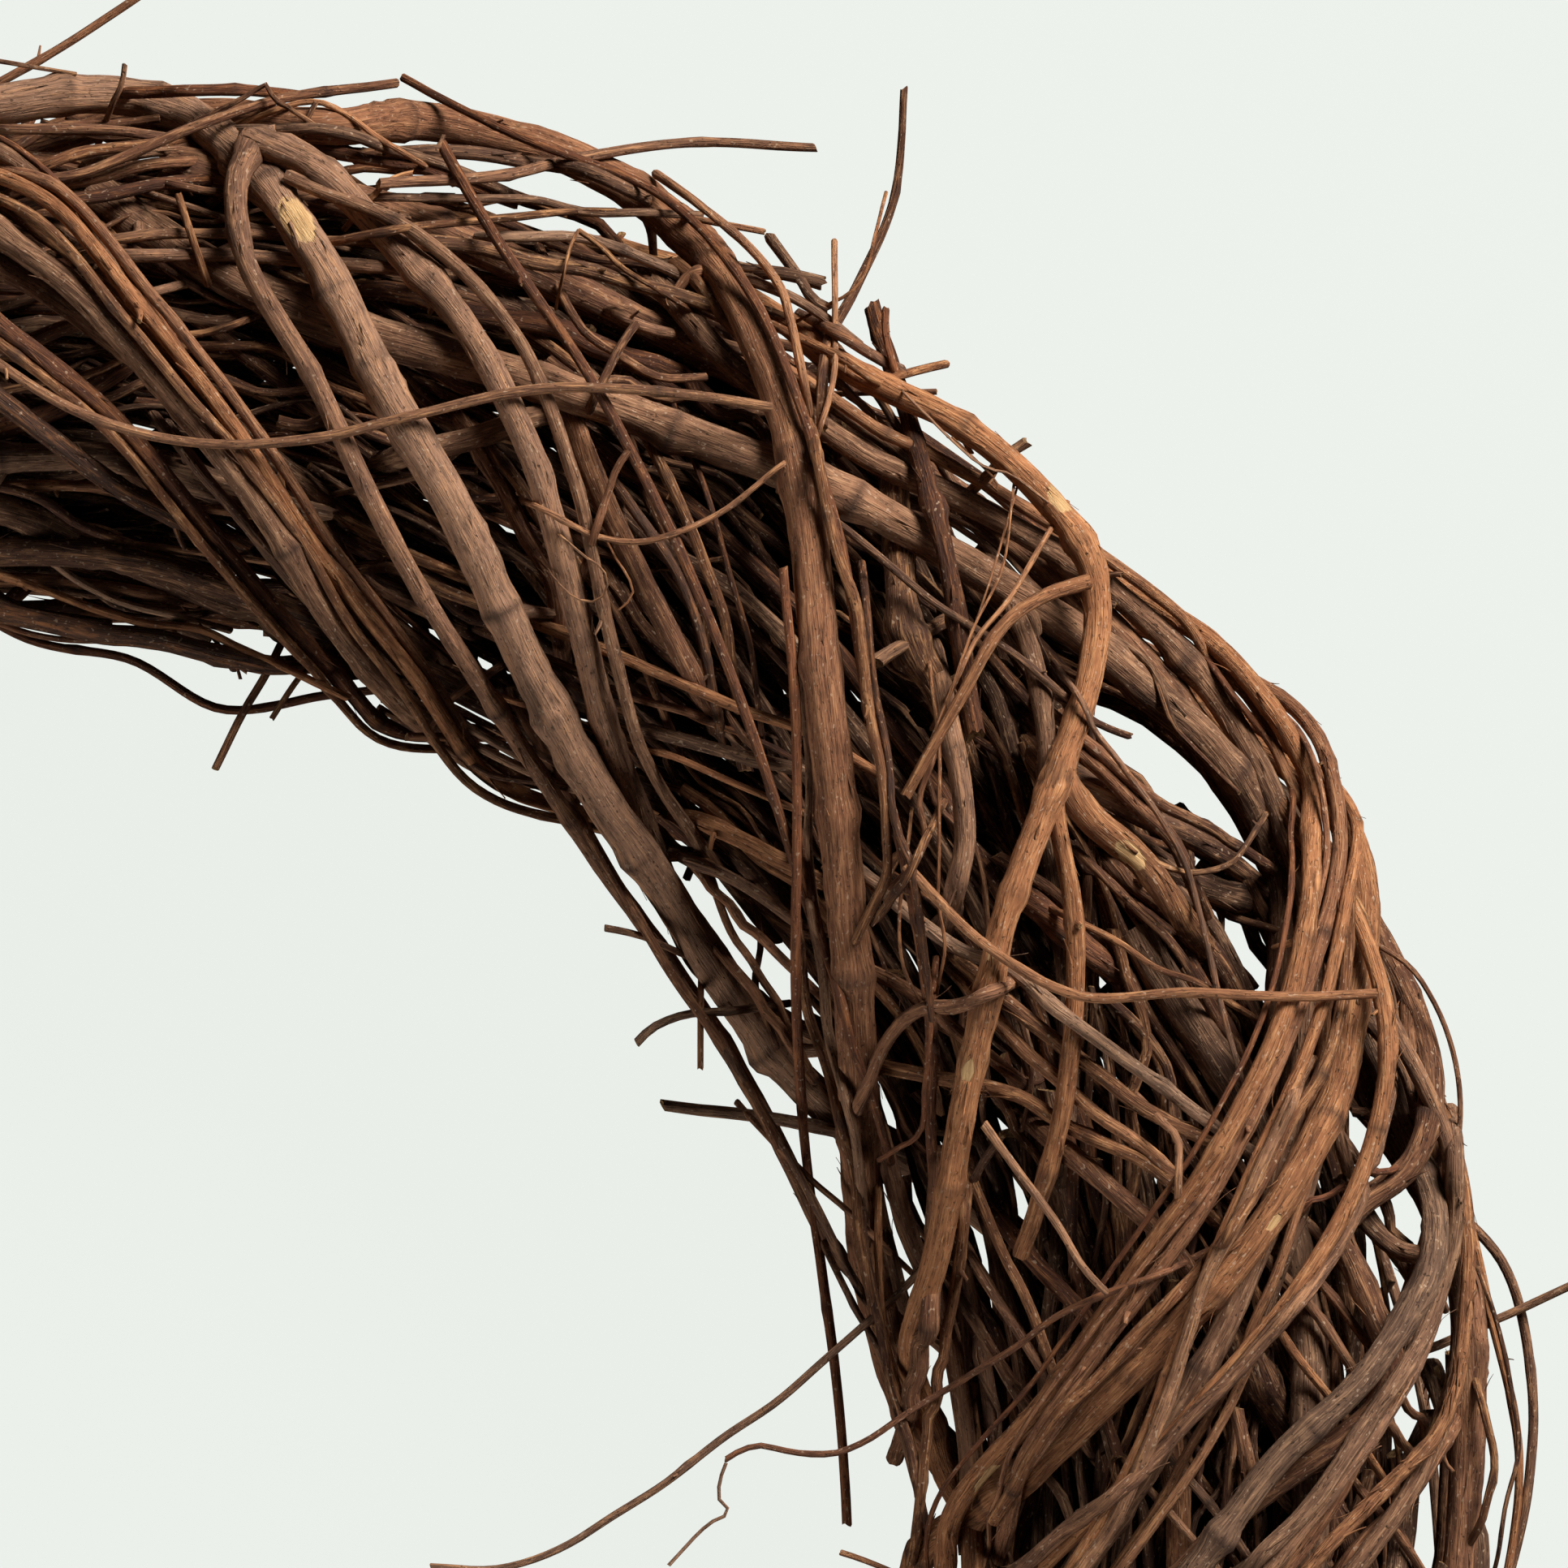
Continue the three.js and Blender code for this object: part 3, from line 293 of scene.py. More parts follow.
class Heap:
    """Meshes gathered into one piece: corners, faces, and what the bark reads at each corner."""

    def __init__(self):
        self.corners, self.quads, self.marks, self.grain, self.tones = [], [], [], [], []
        self.count = 0

    def add(self, corners, quads, grain, marks, tone):
        """grain: where each corner is on the straightened cane. marks: bare, knot and cut at each corner."""
        corners = corners.reshape(-1, 3)
        self.corners.append(corners)
        self.quads.append(quads + self.count)
        self.grain.append(grain.reshape(-1, 3))
        self.marks.append(marks.reshape(-1, 3))
        self.tones.append(np.broadcast_to(tone, corners.shape))
        self.count += len(corners)

    def finish(self, name, slot, *nodes):
        """The gathered meshes as one piece of the wreath, with its bark and the solids it stands for."""
        corners = np.concatenate(self.corners)
        corners[:, 2] = np.maximum(corners[:, 2], LOWEST)
        tones = np.concatenate(self.tones)
        out = how_far_out(corners)
        # painted shade: bark deep inside the bundle gets a darker tone
        tones[:, 1] = np.maximum(tones[:, 1], np.clip((INNER_SHADE_FROM - out) / INNER_SHADE_OVER, 0, 1))
        # painted shade: bark in the hollows of the face gets a darker tone
        for x, y, reach, start in SHADED_HOLLOWS:
            near = bell(off_spot(corners, x, y), HOLLOW_SHADE_SOFTNESS * reach * MM)
            tones[:, 1] = np.maximum(tones[:, 1], near * np.clip((start - out) / HOLLOW_SHADE_OVER, 0, 1))
        quads = np.concatenate(self.quads)
        mesh = bpy.data.meshes.new(name)
        mesh.vertices.add(len(corners))
        mesh.vertices.foreach_set("co", corners.ravel())
        mesh.loops.add(quads.size)
        mesh.loops.foreach_set("vertex_index", quads.ravel().astype(np.int32))
        mesh.polygons.add(len(quads))
        mesh.polygons.foreach_set("loop_start", np.arange(0, quads.size, 4, dtype=np.int32))
        mesh.polygons.foreach_set("use_smooth", np.ones(len(quads), dtype=bool))
        marks, grain = np.concatenate(self.marks), np.concatenate(self.grain)
        for label, values in (("grain", grain), ("marks", marks), ("tone", tones)):
            layer = mesh.attributes.new(label, "FLOAT_VECTOR", "POINT")
            layer.data.foreach_set("vector", values.ravel())
        mesh.update(calc_edges=True)
        mesh.validate()
        mesh.materials.append(BARKS[slot])
        piece = bpy.data.objects.new(name, mesh)
        bpy.context.scene.collection.objects.link(piece)
        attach(piece, "root")
        if nodes:
            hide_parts(*nodes)


def ring_quads(rings, sides):
    """Faces of a tube of so many rings."""
    i = np.arange(rings - 1)[:, None] * sides
    k = np.arange(sides)[None, :]
    k1 = (k + 1) % sides
    return np.stack([i + k, i + k1, i + sides + k1, i + sides + k], -1).reshape(-1, 4)


# The rings of a cut end, from its rim in: each one's size as a share, and how freshly cut it looks
CUT_RINGS = (1.0, 0.62, 0.22, 0.02)
CUT_MARKS = (0.6, 1.0, 1.0, 0.0)
PITH = 0.1  # the rings within this share stay smooth
CUT_SINK = 0.15  # how far a cut end sinks, as a share of its roughness


def add_cap(heap, rng, rim, middle, along, way, tone, rough):
    """A cut or snapped end: rings in from the rim, rough across, with the pith's hollow in the middle."""
    sides = len(rim)
    rings = [rim]
    for share in CUT_RINGS[1:]:
        lift = rough * rng.uniform(-1, 1, sides)[:, None] * (share > PITH)
        rings.append(middle + (rim - middle) * share + way * along * (lift - CUT_SINK * rough))
    corners = np.concatenate(rings)
    quads = ring_quads(len(rings), sides)
    radius = np.linalg.norm(rim - middle, axis=1).mean()
    angle = np.tile(np.arange(sides) / sides * 2 * np.pi, len(rings))
    depth = np.repeat(CUT_RINGS, sides) * radius
    grain = np.stack([depth * np.cos(angle), depth * np.sin(angle), np.zeros(len(corners))], 1)
    marks = np.zeros((len(corners), 3))
    marks[:, 2] = np.repeat(CUT_MARKS, sides)
    heap.add(corners, quads[:, ::-1] if way > 0 else quads, grain, marks, tone)


# Lumps on the face's canes: x, y and reach in mm, and by what share the cane swells
BURLS = [
    (33.5, 217.5, 5, 0.4), (51, 183, 2.5, 0.14), (76, 131, 5, 0.12), (119, 167, 4, 0.24),
    (102, 207, 4, 0.22), (158, 118, 4, 0.25), (146, 85, 4, 0.22), (178, 140, 5, 0.32), (147, 7, 6, 0.35),
    (213, 41, 5, 0.28), (110, 173, 4, 0.18), (61, 198, 6, 0.3), (67, 194, 5, 0.25), (10, 152, 5, 0.2),
    (160, 154, 4, 0.25), (134.5, 141, 5, 0.5), (206, 76, 6, 0.3), (41, 176, 3, 0.2), (66, 150, 3, 0.12),
    (44, 214, 4, 0.2), (137, 162, 3.5, 0.35), (130.4, 158.4, 2, 0.14),
]
BURL_PASS = 3 * MM  # how near a cane has to pass
# Where bark is gone and bare wood shows: x, y and reach in mm
BARE_SPOTS = [
    (39.5, 206.3, 2.7), (158, 163, 1.7), (169, 107.5, 1.9), (147, 10, 2.0), (147, 92, 0.8), (143.5, 74, 1.2),
    (191, 51, 1.0), (69, 190.5, 1.3), (72, 187, 0.9), (218, 26, 0.8), (215.5, 19, 1.1), (211, 13.5, 0.9),
    (206, 8, 1.0), (201.5, 1, 0.9),
]
BARE_PASS = 2.5 * MM
BARE_STRETCH = 1.7  # how much longer than wide a bare spot is
BARE_SINK = 0.12  # how deep it lies, as a share of the cane's radius
TORN_STRIPS = 7  # of bark that stand off round each of them
MARKED_CANE = 1.3 * MM  # the radius of the thinnest cane with burls and bare spots

KNOT_GAPS = (24, 46)  # mm along a cane
# How far a cane strays from its line, as shares of its radius: in sways so many mm long, and at its knots
SWAYS = ((26, 0.3), (6, 0.14))
KNOT_TURN = 0.8
SETTLED = 6 * MM  # the ends that don't stray
# How uneven the wall is, in how many cells round the cane, and how long each is
OVAL = (0.04, 3, 14 * MM)
RIDGE_LENGTH = 9 * MM
FINE_RIDGES = (0.7, 3 * MM)  # as a share of the others, and how long
STOUT_SIDES = 12  # a cane with more sides than this has fine ridges and pimples
PIMPLES_EVERY = 6 * MM
MOST_PIMPLES = 999
SNAPPED = (0.3, 1.2)  # how long the splinters of a cut and of a snapped end are
CUT_ROUGHNESS = 0.18  # as a share of the radius
FULL_TURN = 6.28  # radians


def knots_along(rng, length):
    """Where the knots of a cane are."""
    gap = rng.uniform(*KNOT_GAPS) * MM
    knots = np.arange(gap * rng.uniform(0.2, 0.9), length, gap)
    return knots + rng.uniform(-0.3, 0.3, len(knots)) * gap


def crooked(rng, line, knots, most):
    """A line that runs straight from knot to knot and turns a little at each."""
    far = lengths_along(line)
    _, up, side = frames_along(line)
    settled = np.minimum(1, np.minimum(far, far[-1] - far) / SETTLED)
    shifts = []
    for _ in range(2):
        shift = sum(share * wander(rng, far, length * MM) for length, share in SWAYS)
        if len(knots) > 1:
            shift += KNOT_TURN * np.interp(far, knots, rng.uniform(-1, 1, len(knots)))
        shifts.append(most * settled * shift)
    return line + shifts[0][:, None] * up + shifts[1][:, None] * side


def bark_wall(rng, far, sides, ridge, knots, mean_radius):
    """A cane's wall: by what its radius is multiplied all over, and what the bark reads there."""
    turns = np.arange(sides) / sides
    angle = 2 * np.pi * turns
    marks = np.zeros((len(far), sides, 3))
    oval, cells, length = OVAL
    wall = 1 + oval * wall_noise(rng, far, turns, cells, length)
    wall += ridge * wall_noise(rng, far, turns, max(5, sides // 2), RIDGE_LENGTH)
    if sides > STOUT_SIDES:
        share, length = FINE_RIDGES
        wall += share * ridge * wall_noise(rng, far, turns, sides, length)
        spots = rng.uniform(0, far[-1], int(far[-1] / PIMPLES_EVERY))
        for at, facing in zip(spots, rng.uniform(0, 2 * np.pi, MOST_PIMPLES)):
            spread = rng.uniform(0.5, 1.1) * MM
            bend = np.abs((angle - facing + np.pi) % (2 * np.pi) - np.pi) * mean_radius
            pimple = bell(far - at, spread)[:, None] * bell(bend, spread)[None, :]
            wall += rng.uniform(0.05, 0.16) * pimple
            marks[:, :, 1] = np.maximum(marks[:, :, 1], rng.uniform(0, 0.8) * pimple)
    for at in knots:
        width = (0.9 + 0.45 * mean_radius / MM) * MM * rng.uniform(0.8, 1.2)
        lean = 0.5 + 0.5 * np.cos(angle - rng.uniform(0, 2 * np.pi))
        wall += bell(far - at, width)[:, None] * (0.06 + lean * rng.uniform(0.1, 0.3))
        scar = bell(far - at, 0.45 * width)
        marks[:, :, 1] = np.maximum(marks[:, :, 1], scar[:, None] * (0.3 + 0.7 * lean))
    return turns, angle, wall, marks


def passes(line, spots, near):
    """The spots that a line passes close by on the bundle's upper half.

    For each: x and y, how far each point of the line is off, the nearest point, and its other measures.
    """
    for x, y, *rest in spots:
        flat = off_spot(line, x, y)
        i = int(flat.argmin())
        if flat[i] < near and line[i, 2] > MID_HEIGHT:
            yield x, y, flat, i, rest


def swell_burls(rng, line, far, turns, wall, marks):
    """Makes a cane's wall lumpy and dark at the burls that it passes."""
    for _, _, flat, _, (reach, swell) in passes(line, BURLS, BURL_PASS):
        lump = swell * bell(flat, reach * MM)
        gnarl = wall_noise(rng, far, turns, 5, 3 * MM) + 0.6 * wall_noise(rng, far, turns, 11, 1.5 * MM)
        wall += lump[:, None] * (0.8 + 0.9 * gnarl)
        marks[:, :, 1] = np.maximum(marks[:, :, 1], 0.7 * lump[:, None] / swell * (gnarl < 0))


def bare_spots(line, along, corners, across, radius, marks):
    """Bares and sinks a cane's wall at the bare spots that it passes."""
    for x, y, _, i, (size,) in passes(line, BARE_SPOTS, BARE_PASS):
        gap = corners - np.array([x * MM, y * MM, 0])
        way = unit(along[i, :2])
        ahead = gap[:, :, 0] * way[0] + gap[:, :, 1] * way[1]
        aside = gap[:, :, 0] * way[1] - gap[:, :, 1] * way[0]
        inside = 1.3 - (ahead / (BARE_STRETCH * size * MM)) ** 2 - (aside / (size * MM)) ** 2
        inside = np.clip(inside, 0, 1) * (across[:, :, 2] > -0.1)
        marks[:, :, 0] = np.maximum(marks[:, :, 0], inside)
        corners -= (BARE_SINK * inside * radius[:, None])[:, :, None] * across


def add_cane(heap, rng, points, radii, look, knots=None, ends=(True, True)):
    """A cane with bark: it kinks and swells at its knots, and its ends are cut or snapped.

    look: sides, fine and coarse steps, ridge (how deep the bark's ridges are, as a share of the radius),
    zigzag, tone and start (where its grain starts).
    """
    coarse = lengths_along(points)
    line, close = graded_line(points, look["fine"], look["coarse"])
    far = lengths_along(line)
    radius = np.interp(far * coarse[-1] / far[-1], coarse, radii)
    mean_radius = radius.mean()
    if knots is None:
        knots = knots_along(rng, far[-1])
    line = crooked(rng, line, knots, look["zigzag"] * mean_radius)
    along, up, side = frames_along(line)
    sides = look["sides"]
    turns, angle, wall, marks = bark_wall(rng, far, sides, look["ridge"], knots, mean_radius)
    across = np.cos(angle)[:, None] * up[:, None, :] + np.sin(angle)[:, None] * side[:, None, :]
    marked = close and mean_radius > MARKED_CANE
    if marked:
        swell_burls(rng, line, far, turns, wall, marks)
    corners = line[:, None, :] + (radius[:, None] * wall)[:, :, None] * across
    if marked:
        bare_spots(line, along, corners, across, radius, marks)
    tips = [tip for tip, has_end in zip(((-1, 0), (1, -1)), ends) if has_end]
    for way, rim in tips:
        slant = rng.uniform(0.1, 0.5) * mean_radius * np.cos(angle - rng.uniform(0, FULL_TURN))
        splinter = rng.uniform(-0.35, 0.5, sides) * mean_radius * rng.choice(SNAPPED)
        corners[rim] += (way * (slant + splinter))[:, None] * along[rim]
    grain = np.empty(corners.shape)
    grain[:, :, 0] = mean_radius * np.cos(angle)
    grain[:, :, 1] = mean_radius * np.sin(angle)
    grain[:, :, 2] = far[:, None] + look["start"]
    heap.add(corners, ring_quads(len(far), sides), grain, marks, look["tone"])
    rough = CUT_ROUGHNESS * mean_radius
    for way, rim in tips:
        add_cap(heap, rng, corners[rim], line[rim], along[rim], way, look["tone"], rough)
    return line, radius, along, knots


# How finely canes are made: least radius, sides where seen and elsewhere, steps in mm, and crookedness
FINENESS = (
    (2.1 * MM, (22, 14), 1.6, 5, 0.22),
    (1.25 * MM, (14, 10), 1.8, 5.5, 0.32),
    (0.0, (9, 7), 2.0, 6, 0.42),
)
RIDGE = 0.065  # how deep the bark's ridges are, as a share of the radius


def cane_look(rng, radius, seen=True, **other):
    """How finely a cane is made, and a tone of its own: lightness, depth and wear from 0 to 1."""
    _, sides, fine, coarse, zigzag = next(row for row in FINENESS if radius > row[0])
    look = {"sides": sides[0 if seen else 1], "fine": fine * MM, "coarse": coarse * MM, "zigzag": zigzag}
    return look | {"ridge": RIDGE, "tone": rng.uniform(0, 1, 3), "start": rng.uniform(0, 3)} | other


SLIVER_RINGS = 6
SLIVER_CANE = 1.1 * MM  # a cane thinner than this has none
SLIVER_CURLS = (0.05, 0.4)
SLIVERS_EVERY = 6.5 * MM  # along the canes seen close up
STUB_CLEAR = 5 * MM  # of a cane's ends
STUB_TAPER = np.array([1.35, 0.95, 0.8])


def add_stub(heap, rng, foot, along, out, radius, length, look):
    """A broken side shoot, or a bud's stump, that leans forward from the cane it grows on."""
    lean = unit(0.75 * out + rng.uniform(0.2, 0.8) * along + 0.25 * rng.uniform(-1, 1, 3))
    bend = unit(np.cross(lean, along)) * rng.uniform(-0.2, 0.2) * length
    points = np.array([foot, foot + 0.5 * length * lean + bend, foot + length * lean])
    small = look | {"sides": 7, "fine": min(1.2 * MM, length / 3), "coarse": length / 3, "zigzag": 0.15}
    add_cane(heap, rng, points, STUB_TAPER * radius, small, knots=np.array([]), ends=(False, True))


def add_stubs(heap, rng, line, radius, along, knots, look, share):
    """Stubs at some of a cane's knots."""
    far = lengths_along(line)
    for at in knots:
        if rng.uniform() > share or not STUB_CLEAR < at < far[-1] - STUB_CLEAR:
            continue
        i = int(np.searchsorted(far, at))
        out = unit(np.cross(along[i], rng.uniform(-1, 1, 3)))
        stub_radius = radius[i] * rng.uniform(0.22, 0.42)
        length = radius[i] * rng.uniform(0.7, 2.4) + 0.6 * MM
        add_stub(heap, rng, line[i] + 0.6 * radius[i] * out, along[i], out, stub_radius, length, look)


def add_sliver(heap, rng, foot, along, out, length, width, look):
    """A strip of bark that has come loose and curls away from the cane, thin and drawn to a point."""
    way = rng.choice([-1, 1])
    curl = rng.uniform(*SLIVER_CURLS)
    side = unit(np.cross(along, out))
    sway = rng.uniform(-0.2, 0.2)
    t = np.linspace(0, 1, SLIVER_RINGS)[:, None]
    lean = way * along + sway * side
    line = foot + length * (t * lean + curl * t**2 * out) - 0.1 * width * out
    half = 0.5 * width * (1 - 0.8 * t)
    thin = np.maximum(0.22 * half, 0.05 * MM)
    corners = np.stack([line + half * side, line + thin * out, line - half * side, line - thin * out], 1)
    grain = np.zeros((SLIVER_RINGS, 4, 3))
    grain[:, :, 0] = np.array([1, 0, -1, 0]) * half
    grain[:, :, 2] = t * length + rng.uniform(0, 1)
    ends = np.array([[3, 2, 1, 0], [4 * SLIVER_RINGS - 4 + k for k in range(4)]])
    quads = np.concatenate([ring_quads(SLIVER_RINGS, 4), ends])
    heap.add(corners, quads, grain, np.zeros((SLIVER_RINGS, 4, 3)), look["tone"])


def add_slivers(heap, rng, line, radius, along, look, every):
    """Loose strips along the part of a cane that is seen close up, more of them where its bark is torn."""
    if radius.mean() < SLIVER_CANE:
        return
    far = lengths_along(line)
    spots = np.arange(rng.uniform(0.2, 1) * every, far[-1] - 2 * MM, every)
    spots = [at + rng.uniform(-0.4, 0.4) * every for at in spots]
    for _, _, _, i, (size,) in passes(line, BARE_SPOTS, BARE_PASS):
        spots += list(far[i] + 2 * size * MM * rng.uniform(-1, 1, TORN_STRIPS))
    close = seen_close(line)
    for at in spots:
        i = int(np.searchsorted(far, at))
        if not 0 < i < len(line) or not close[i]:
            continue
        out = unit(np.cross(along[i], rng.uniform(-1, 1, 3)) + np.array([0, 0, 0.5]))
        out = unit(out - (out @ along[i]) * along[i])
        length, width = rng.uniform(1.5, 6) * MM, rng.uniform(0.3, 0.9) * MM
        add_sliver(heap, rng, line[i] + 0.97 * radius[i] * out, along[i], out, length, width, look)


# Materials


def node(tree, kind, settings):
    """Adds a node.

    settings: its properties, and its sockets by name or number, each a value or what feeds it.
    """
    made = tree.nodes.new(kind)
    for key, value in settings.items():
        if not isinstance(key, int) and key not in made.inputs:
            setattr(made, key, value)
        elif isinstance(value, bpy.types.NodeSocket):
            tree.links.new(value, made.inputs[key])
        else:
            made.inputs[key].default_value = value
    return made


def tinted(tree, colour, layers):
    """A colour with others laid over it in turn.

    layers: for each, what it follows, where that starts and ends, its share and its colour.
    """
    for value, low, high, most, tint in layers:
        span = {"Value": value, "From Min": low, "From Max": high, "To Max": most}
        share = node(tree, "ShaderNodeMapRange", span).outputs["Result"]
        tint = linear(tint) if isinstance(tint, str) else tint
        mixed = node(tree, "ShaderNodeMix", {"data_type": "RGBA", 0: share, 6: colour, 7: tint})
        colour = mixed.outputs[2]
    return colour


# Grains of the bark: width across the cane and length along it, in mm, and how much finer detail each has
GRAINS = {
    "fibres": (0.2, 4.5, 4.0),
    "strips": (0.7, 11.0, 3.0),
    "cracks": (0.8, 9.0, 2.5),
    "patches": (3.5, 12.0, 3.0),
    "mottle": (1.0, 3.6, 3.0),
    "pits": (0.6, 0.9, 1.0),
}
GRAIN_ROUGHNESS = 0.6
SPLIT_HALF = 0.011  # how near its middle value the cracks' noise is where the bark is split
BARE_RAGGED = 0.9  # how much the mottle frays the rim of a bare spot
BARK_SPECULAR = 0.3  # dry bark hardly shines
# Colours, sRGB
DARK_SPLIT = "#1c110b"
KNOT_BROWN = "#33211a"
WEATHERED = "#a88a74"
PALE_FLECK = "#cfb398"
BARE_WOOD, BARE_FIBRES, BARE_SHADE = "#bf9160", "#e4c08c", "#946a42"
CUT_WOOD, CUT_FLECK = "#7a5a3c", "#b08a5c"


def dried_vine_bark(name, light, body, dark, streak, roughness):
    """Dried grapevine bark: stringy, matt, split along the cane; tan where the outer bark has rubbed off."""
    material = bpy.data.materials.new(name)
    material.use_nodes = True
    tree = material.node_tree
    shader = tree.nodes["Principled BSDF"]
    read = {
        word: node(tree, "ShaderNodeAttribute", {"attribute_name": word}).outputs["Vector"]
        for word in ("grain", "marks", "tone")
    }
    bared, knotty, cut = node(tree, "ShaderNodeSeparateXYZ", {0: read["marks"]}).outputs
    pale, deep, worn = node(tree, "ShaderNodeSeparateXYZ", {0: read["tone"]}).outputs
    noise = {}
    for word, (across, along, detail) in GRAINS.items():
        scale = (1 / (across * MM), 1 / (across * MM), 1 / (along * MM))
        place = node(tree, "ShaderNodeMapping", {"Scale": scale, "Vector": read["grain"]})
        noise[word] = node(
            tree, "ShaderNodeTexNoise",
            {"Scale": 1.0, "Detail": detail, "Roughness": GRAIN_ROUGHNESS, "Vector": place.outputs[0]},
        ).outputs["Fac"]
    split = node(
        tree, "ShaderNodeMath", {"operation": "COMPARE", 0: noise["cracks"], 1: 0.5, 2: SPLIT_HALF}
    ).outputs[0]
    edge = node(
        tree, "ShaderNodeMath", {"operation": "MULTIPLY_ADD", 0: noise["mottle"], 1: BARE_RAGGED, 2: bared}
    ).outputs[0]
    bark = tinted(tree, linear(body), (
        (noise["patches"], 0.34, 0.66, 0.9, light),
        # lightness and depth: the bark's own tone, and also painted light and painted shade where canes lie
        # lit, deep in the bundle or in hollows
        (pale, 0.0, 1.0, 0.5, light),
        (worn, 0.5, 1.0, 0.6, WEATHERED),
        (deep, 0.0, 1.0, 0.9, dark),
        (noise["mottle"], 0.48, 0.3, 0.5, dark),
        (noise["mottle"], 0.54, 0.72, 0.45, streak),
        (noise["strips"], 0.54, 0.68, 0.5, streak),
        (noise["strips"], 0.44, 0.32, 0.35, dark),
        (noise["fibres"], 0.48, 0.3, 0.6, dark),
        (noise["fibres"], 0.55, 0.72, 0.5, streak),
        (split, 0.0, 1.0, 0.5, DARK_SPLIT),
        (noise["pits"], 0.68, 0.76, 0.6, DARK_SPLIT),
        (noise["pits"], 0.34, 0.27, 0.5, PALE_FLECK),
        (knotty, 0.1, 0.9, 0.75, KNOT_BROWN),
    ))
    bare = tinted(tree, linear(BARE_WOOD), (
        (noise["fibres"], 0.35, 0.65, 1.0, BARE_FIBRES),
        (noise["mottle"], 0.45, 0.3, 0.6, BARE_SHADE),
    ))
    sawn = tinted(tree, linear(CUT_WOOD), ((noise["pits"], 0.4, 0.6, 1.0, CUT_FLECK),))
    colour = tinted(tree, bark, ((edge, 0.85, 1.05, 1.0, bare), (cut, 0.0, 1.0, 1.0, sawn)))
    rough = node(
        tree, "ShaderNodeMapRange",
        {"Value": noise["fibres"], "To Min": roughness - 0.1, "To Max": min(1.0, roughness + 0.08)},
    )
    # the bark's own relief: what it follows, where that starts and ends, and its rise in mm
    height = 0.0
    for value, low, high, rise in (
        (noise["fibres"], 0.25, 0.75, 0.16),
        (noise["strips"], 0.4, 0.6, 0.1),
        (noise["mottle"], 0.2, 0.8, 0.22),
        (noise["pits"], 0.68, 0.76, -0.12),
        (split, 0.0, 1.0, -0.14),
        (edge, 0.9, 1.02, -0.2),
    ):
        span = {"Value": value, "From Min": low, "From Max": high, "To Max": rise}
        part = node(tree, "ShaderNodeMapRange", span).outputs[0]
        height = node(tree, "ShaderNodeMath", {"operation": "ADD", 0: height, 1: part}).outputs[0]
    bump = node(tree, "ShaderNodeBump", {"Strength": 1.0, "Distance": MM, "Height": height})
    shader.inputs["Specular IOR Level"].default_value = BARK_SPECULAR
    feeds = {"Base Color": colour, "Roughness": rough.outputs[0], "Normal": bump.outputs[0]}
    for socket, feed in feeds.items():
        tree.links.new(feed, shader.inputs[socket])
    return material


# The light, middle, dark and streaked colours of each bark, sRGB, and its roughness
BARKS = {
    # long weathered: greyish, quite matt
    "grey_bark": dried_vine_bark("weathered_vine_bark", "#a97b5d", "#78543e", "#351f14", "#cc9f7a", 0.85),
    # the most common: middle brown with tan streaks
    "brown_bark": dried_vine_bark("brown_vine_bark", "#a67150", "#774c36", "#33190f", "#cd976c", 0.82),
    # young twigs: smooth enough for a dull sheen
    "red_bark": dried_vine_bark("red_vine_bark", "#935b3d", "#683b26", "#2d150a", "#b17447", 0.75),
    # outer bark rubbed off: light and warm
    "tan_bark": dried_vine_bark("tan_vine_bark", "#bd8056", "#8f5938", "#432514", "#e0a672", 0.8),
}
SLOT_OF = {part["node"]: part["material_slot"] for part in frame["record"]["subparts"]}

# The canes that stand for the solids

# Tones of the canes that are seen best: lightness, depth and wear, each from 0 to 1. Partly the bark's own
# colour, partly painted light on canes that lie lit and painted shade on those that lie in shade
TONES = {
    "knot_cane": (0.9, 0.0, 0.95), "loop_cane": (0.95, 0.0, 0.5), "thick_wrap": (0.7, 0.1, 0.5),
    "long_cane": (0.95, 0.0, 0.4), "upper_cane": (0.4, 0.4, 0.4), "wide_left_wrap": (0.3, 0.4, 0.5),
    "second_left_wrap": (0.2, 0.6, 0.3), "left_wrap": (0.6, 0.3, 0.4), "orange_wrap": (0.5, 0.2, 0.1),
    "rough_grey_cane": (0.1, 0.6, 0.95), "stout_wrap": (0.6, 0.3, 0.5), "outer_wrap_1": (0.5, 0.3, 0.8),
    "bundle_wrap_1": (0.5, 0.15, 0.3), "bundle_wrap_2": (0.7, 0.15, 0.3),
    "bundle_wrap_3": (0.7, 0.1, 0.3), "bundle_wrap_4": (0.7, 0.1, 0.4),
}
# Arms whose first stretch is hidden in a knot: how high they start, and the spots they pass, in mm
ARM_STARTS = {
    ("knot_cane", 1): (1.07, [(33, 219), (45, 212)]),
    ("knot_cane", 2): (1.07, [(33, 219), (30, 212)]),
    ("loop_cane", 1): (1.15, [(162, 150), (156.5, 148.2)]),
}
ARM_FLARE = np.array([1.2, 1.1])  # how much stouter they are there
SOLID_STUBS = 0.3  # the share of knots with a stub


def face_height(x, y, lift):
    """How high the bundle's face is over a spot, for a cane that lies so many half-depths out."""
    share = (np.hypot(x, y) - RING_RADIUS) / (HALF_WIDTH * lift)
    return MID_HEIGHT + HALF_DEPTH * lift * np.sqrt(np.maximum(1 - share**2, 0.2))


def on_face(spots, lift):
    """Spots in mm, as seen from above, laid on the bundle's face."""
    flat = np.array(spots, dtype=float) * MM
    return np.column_stack([flat, face_height(flat[:, 0], flat[:, 1], lift)])


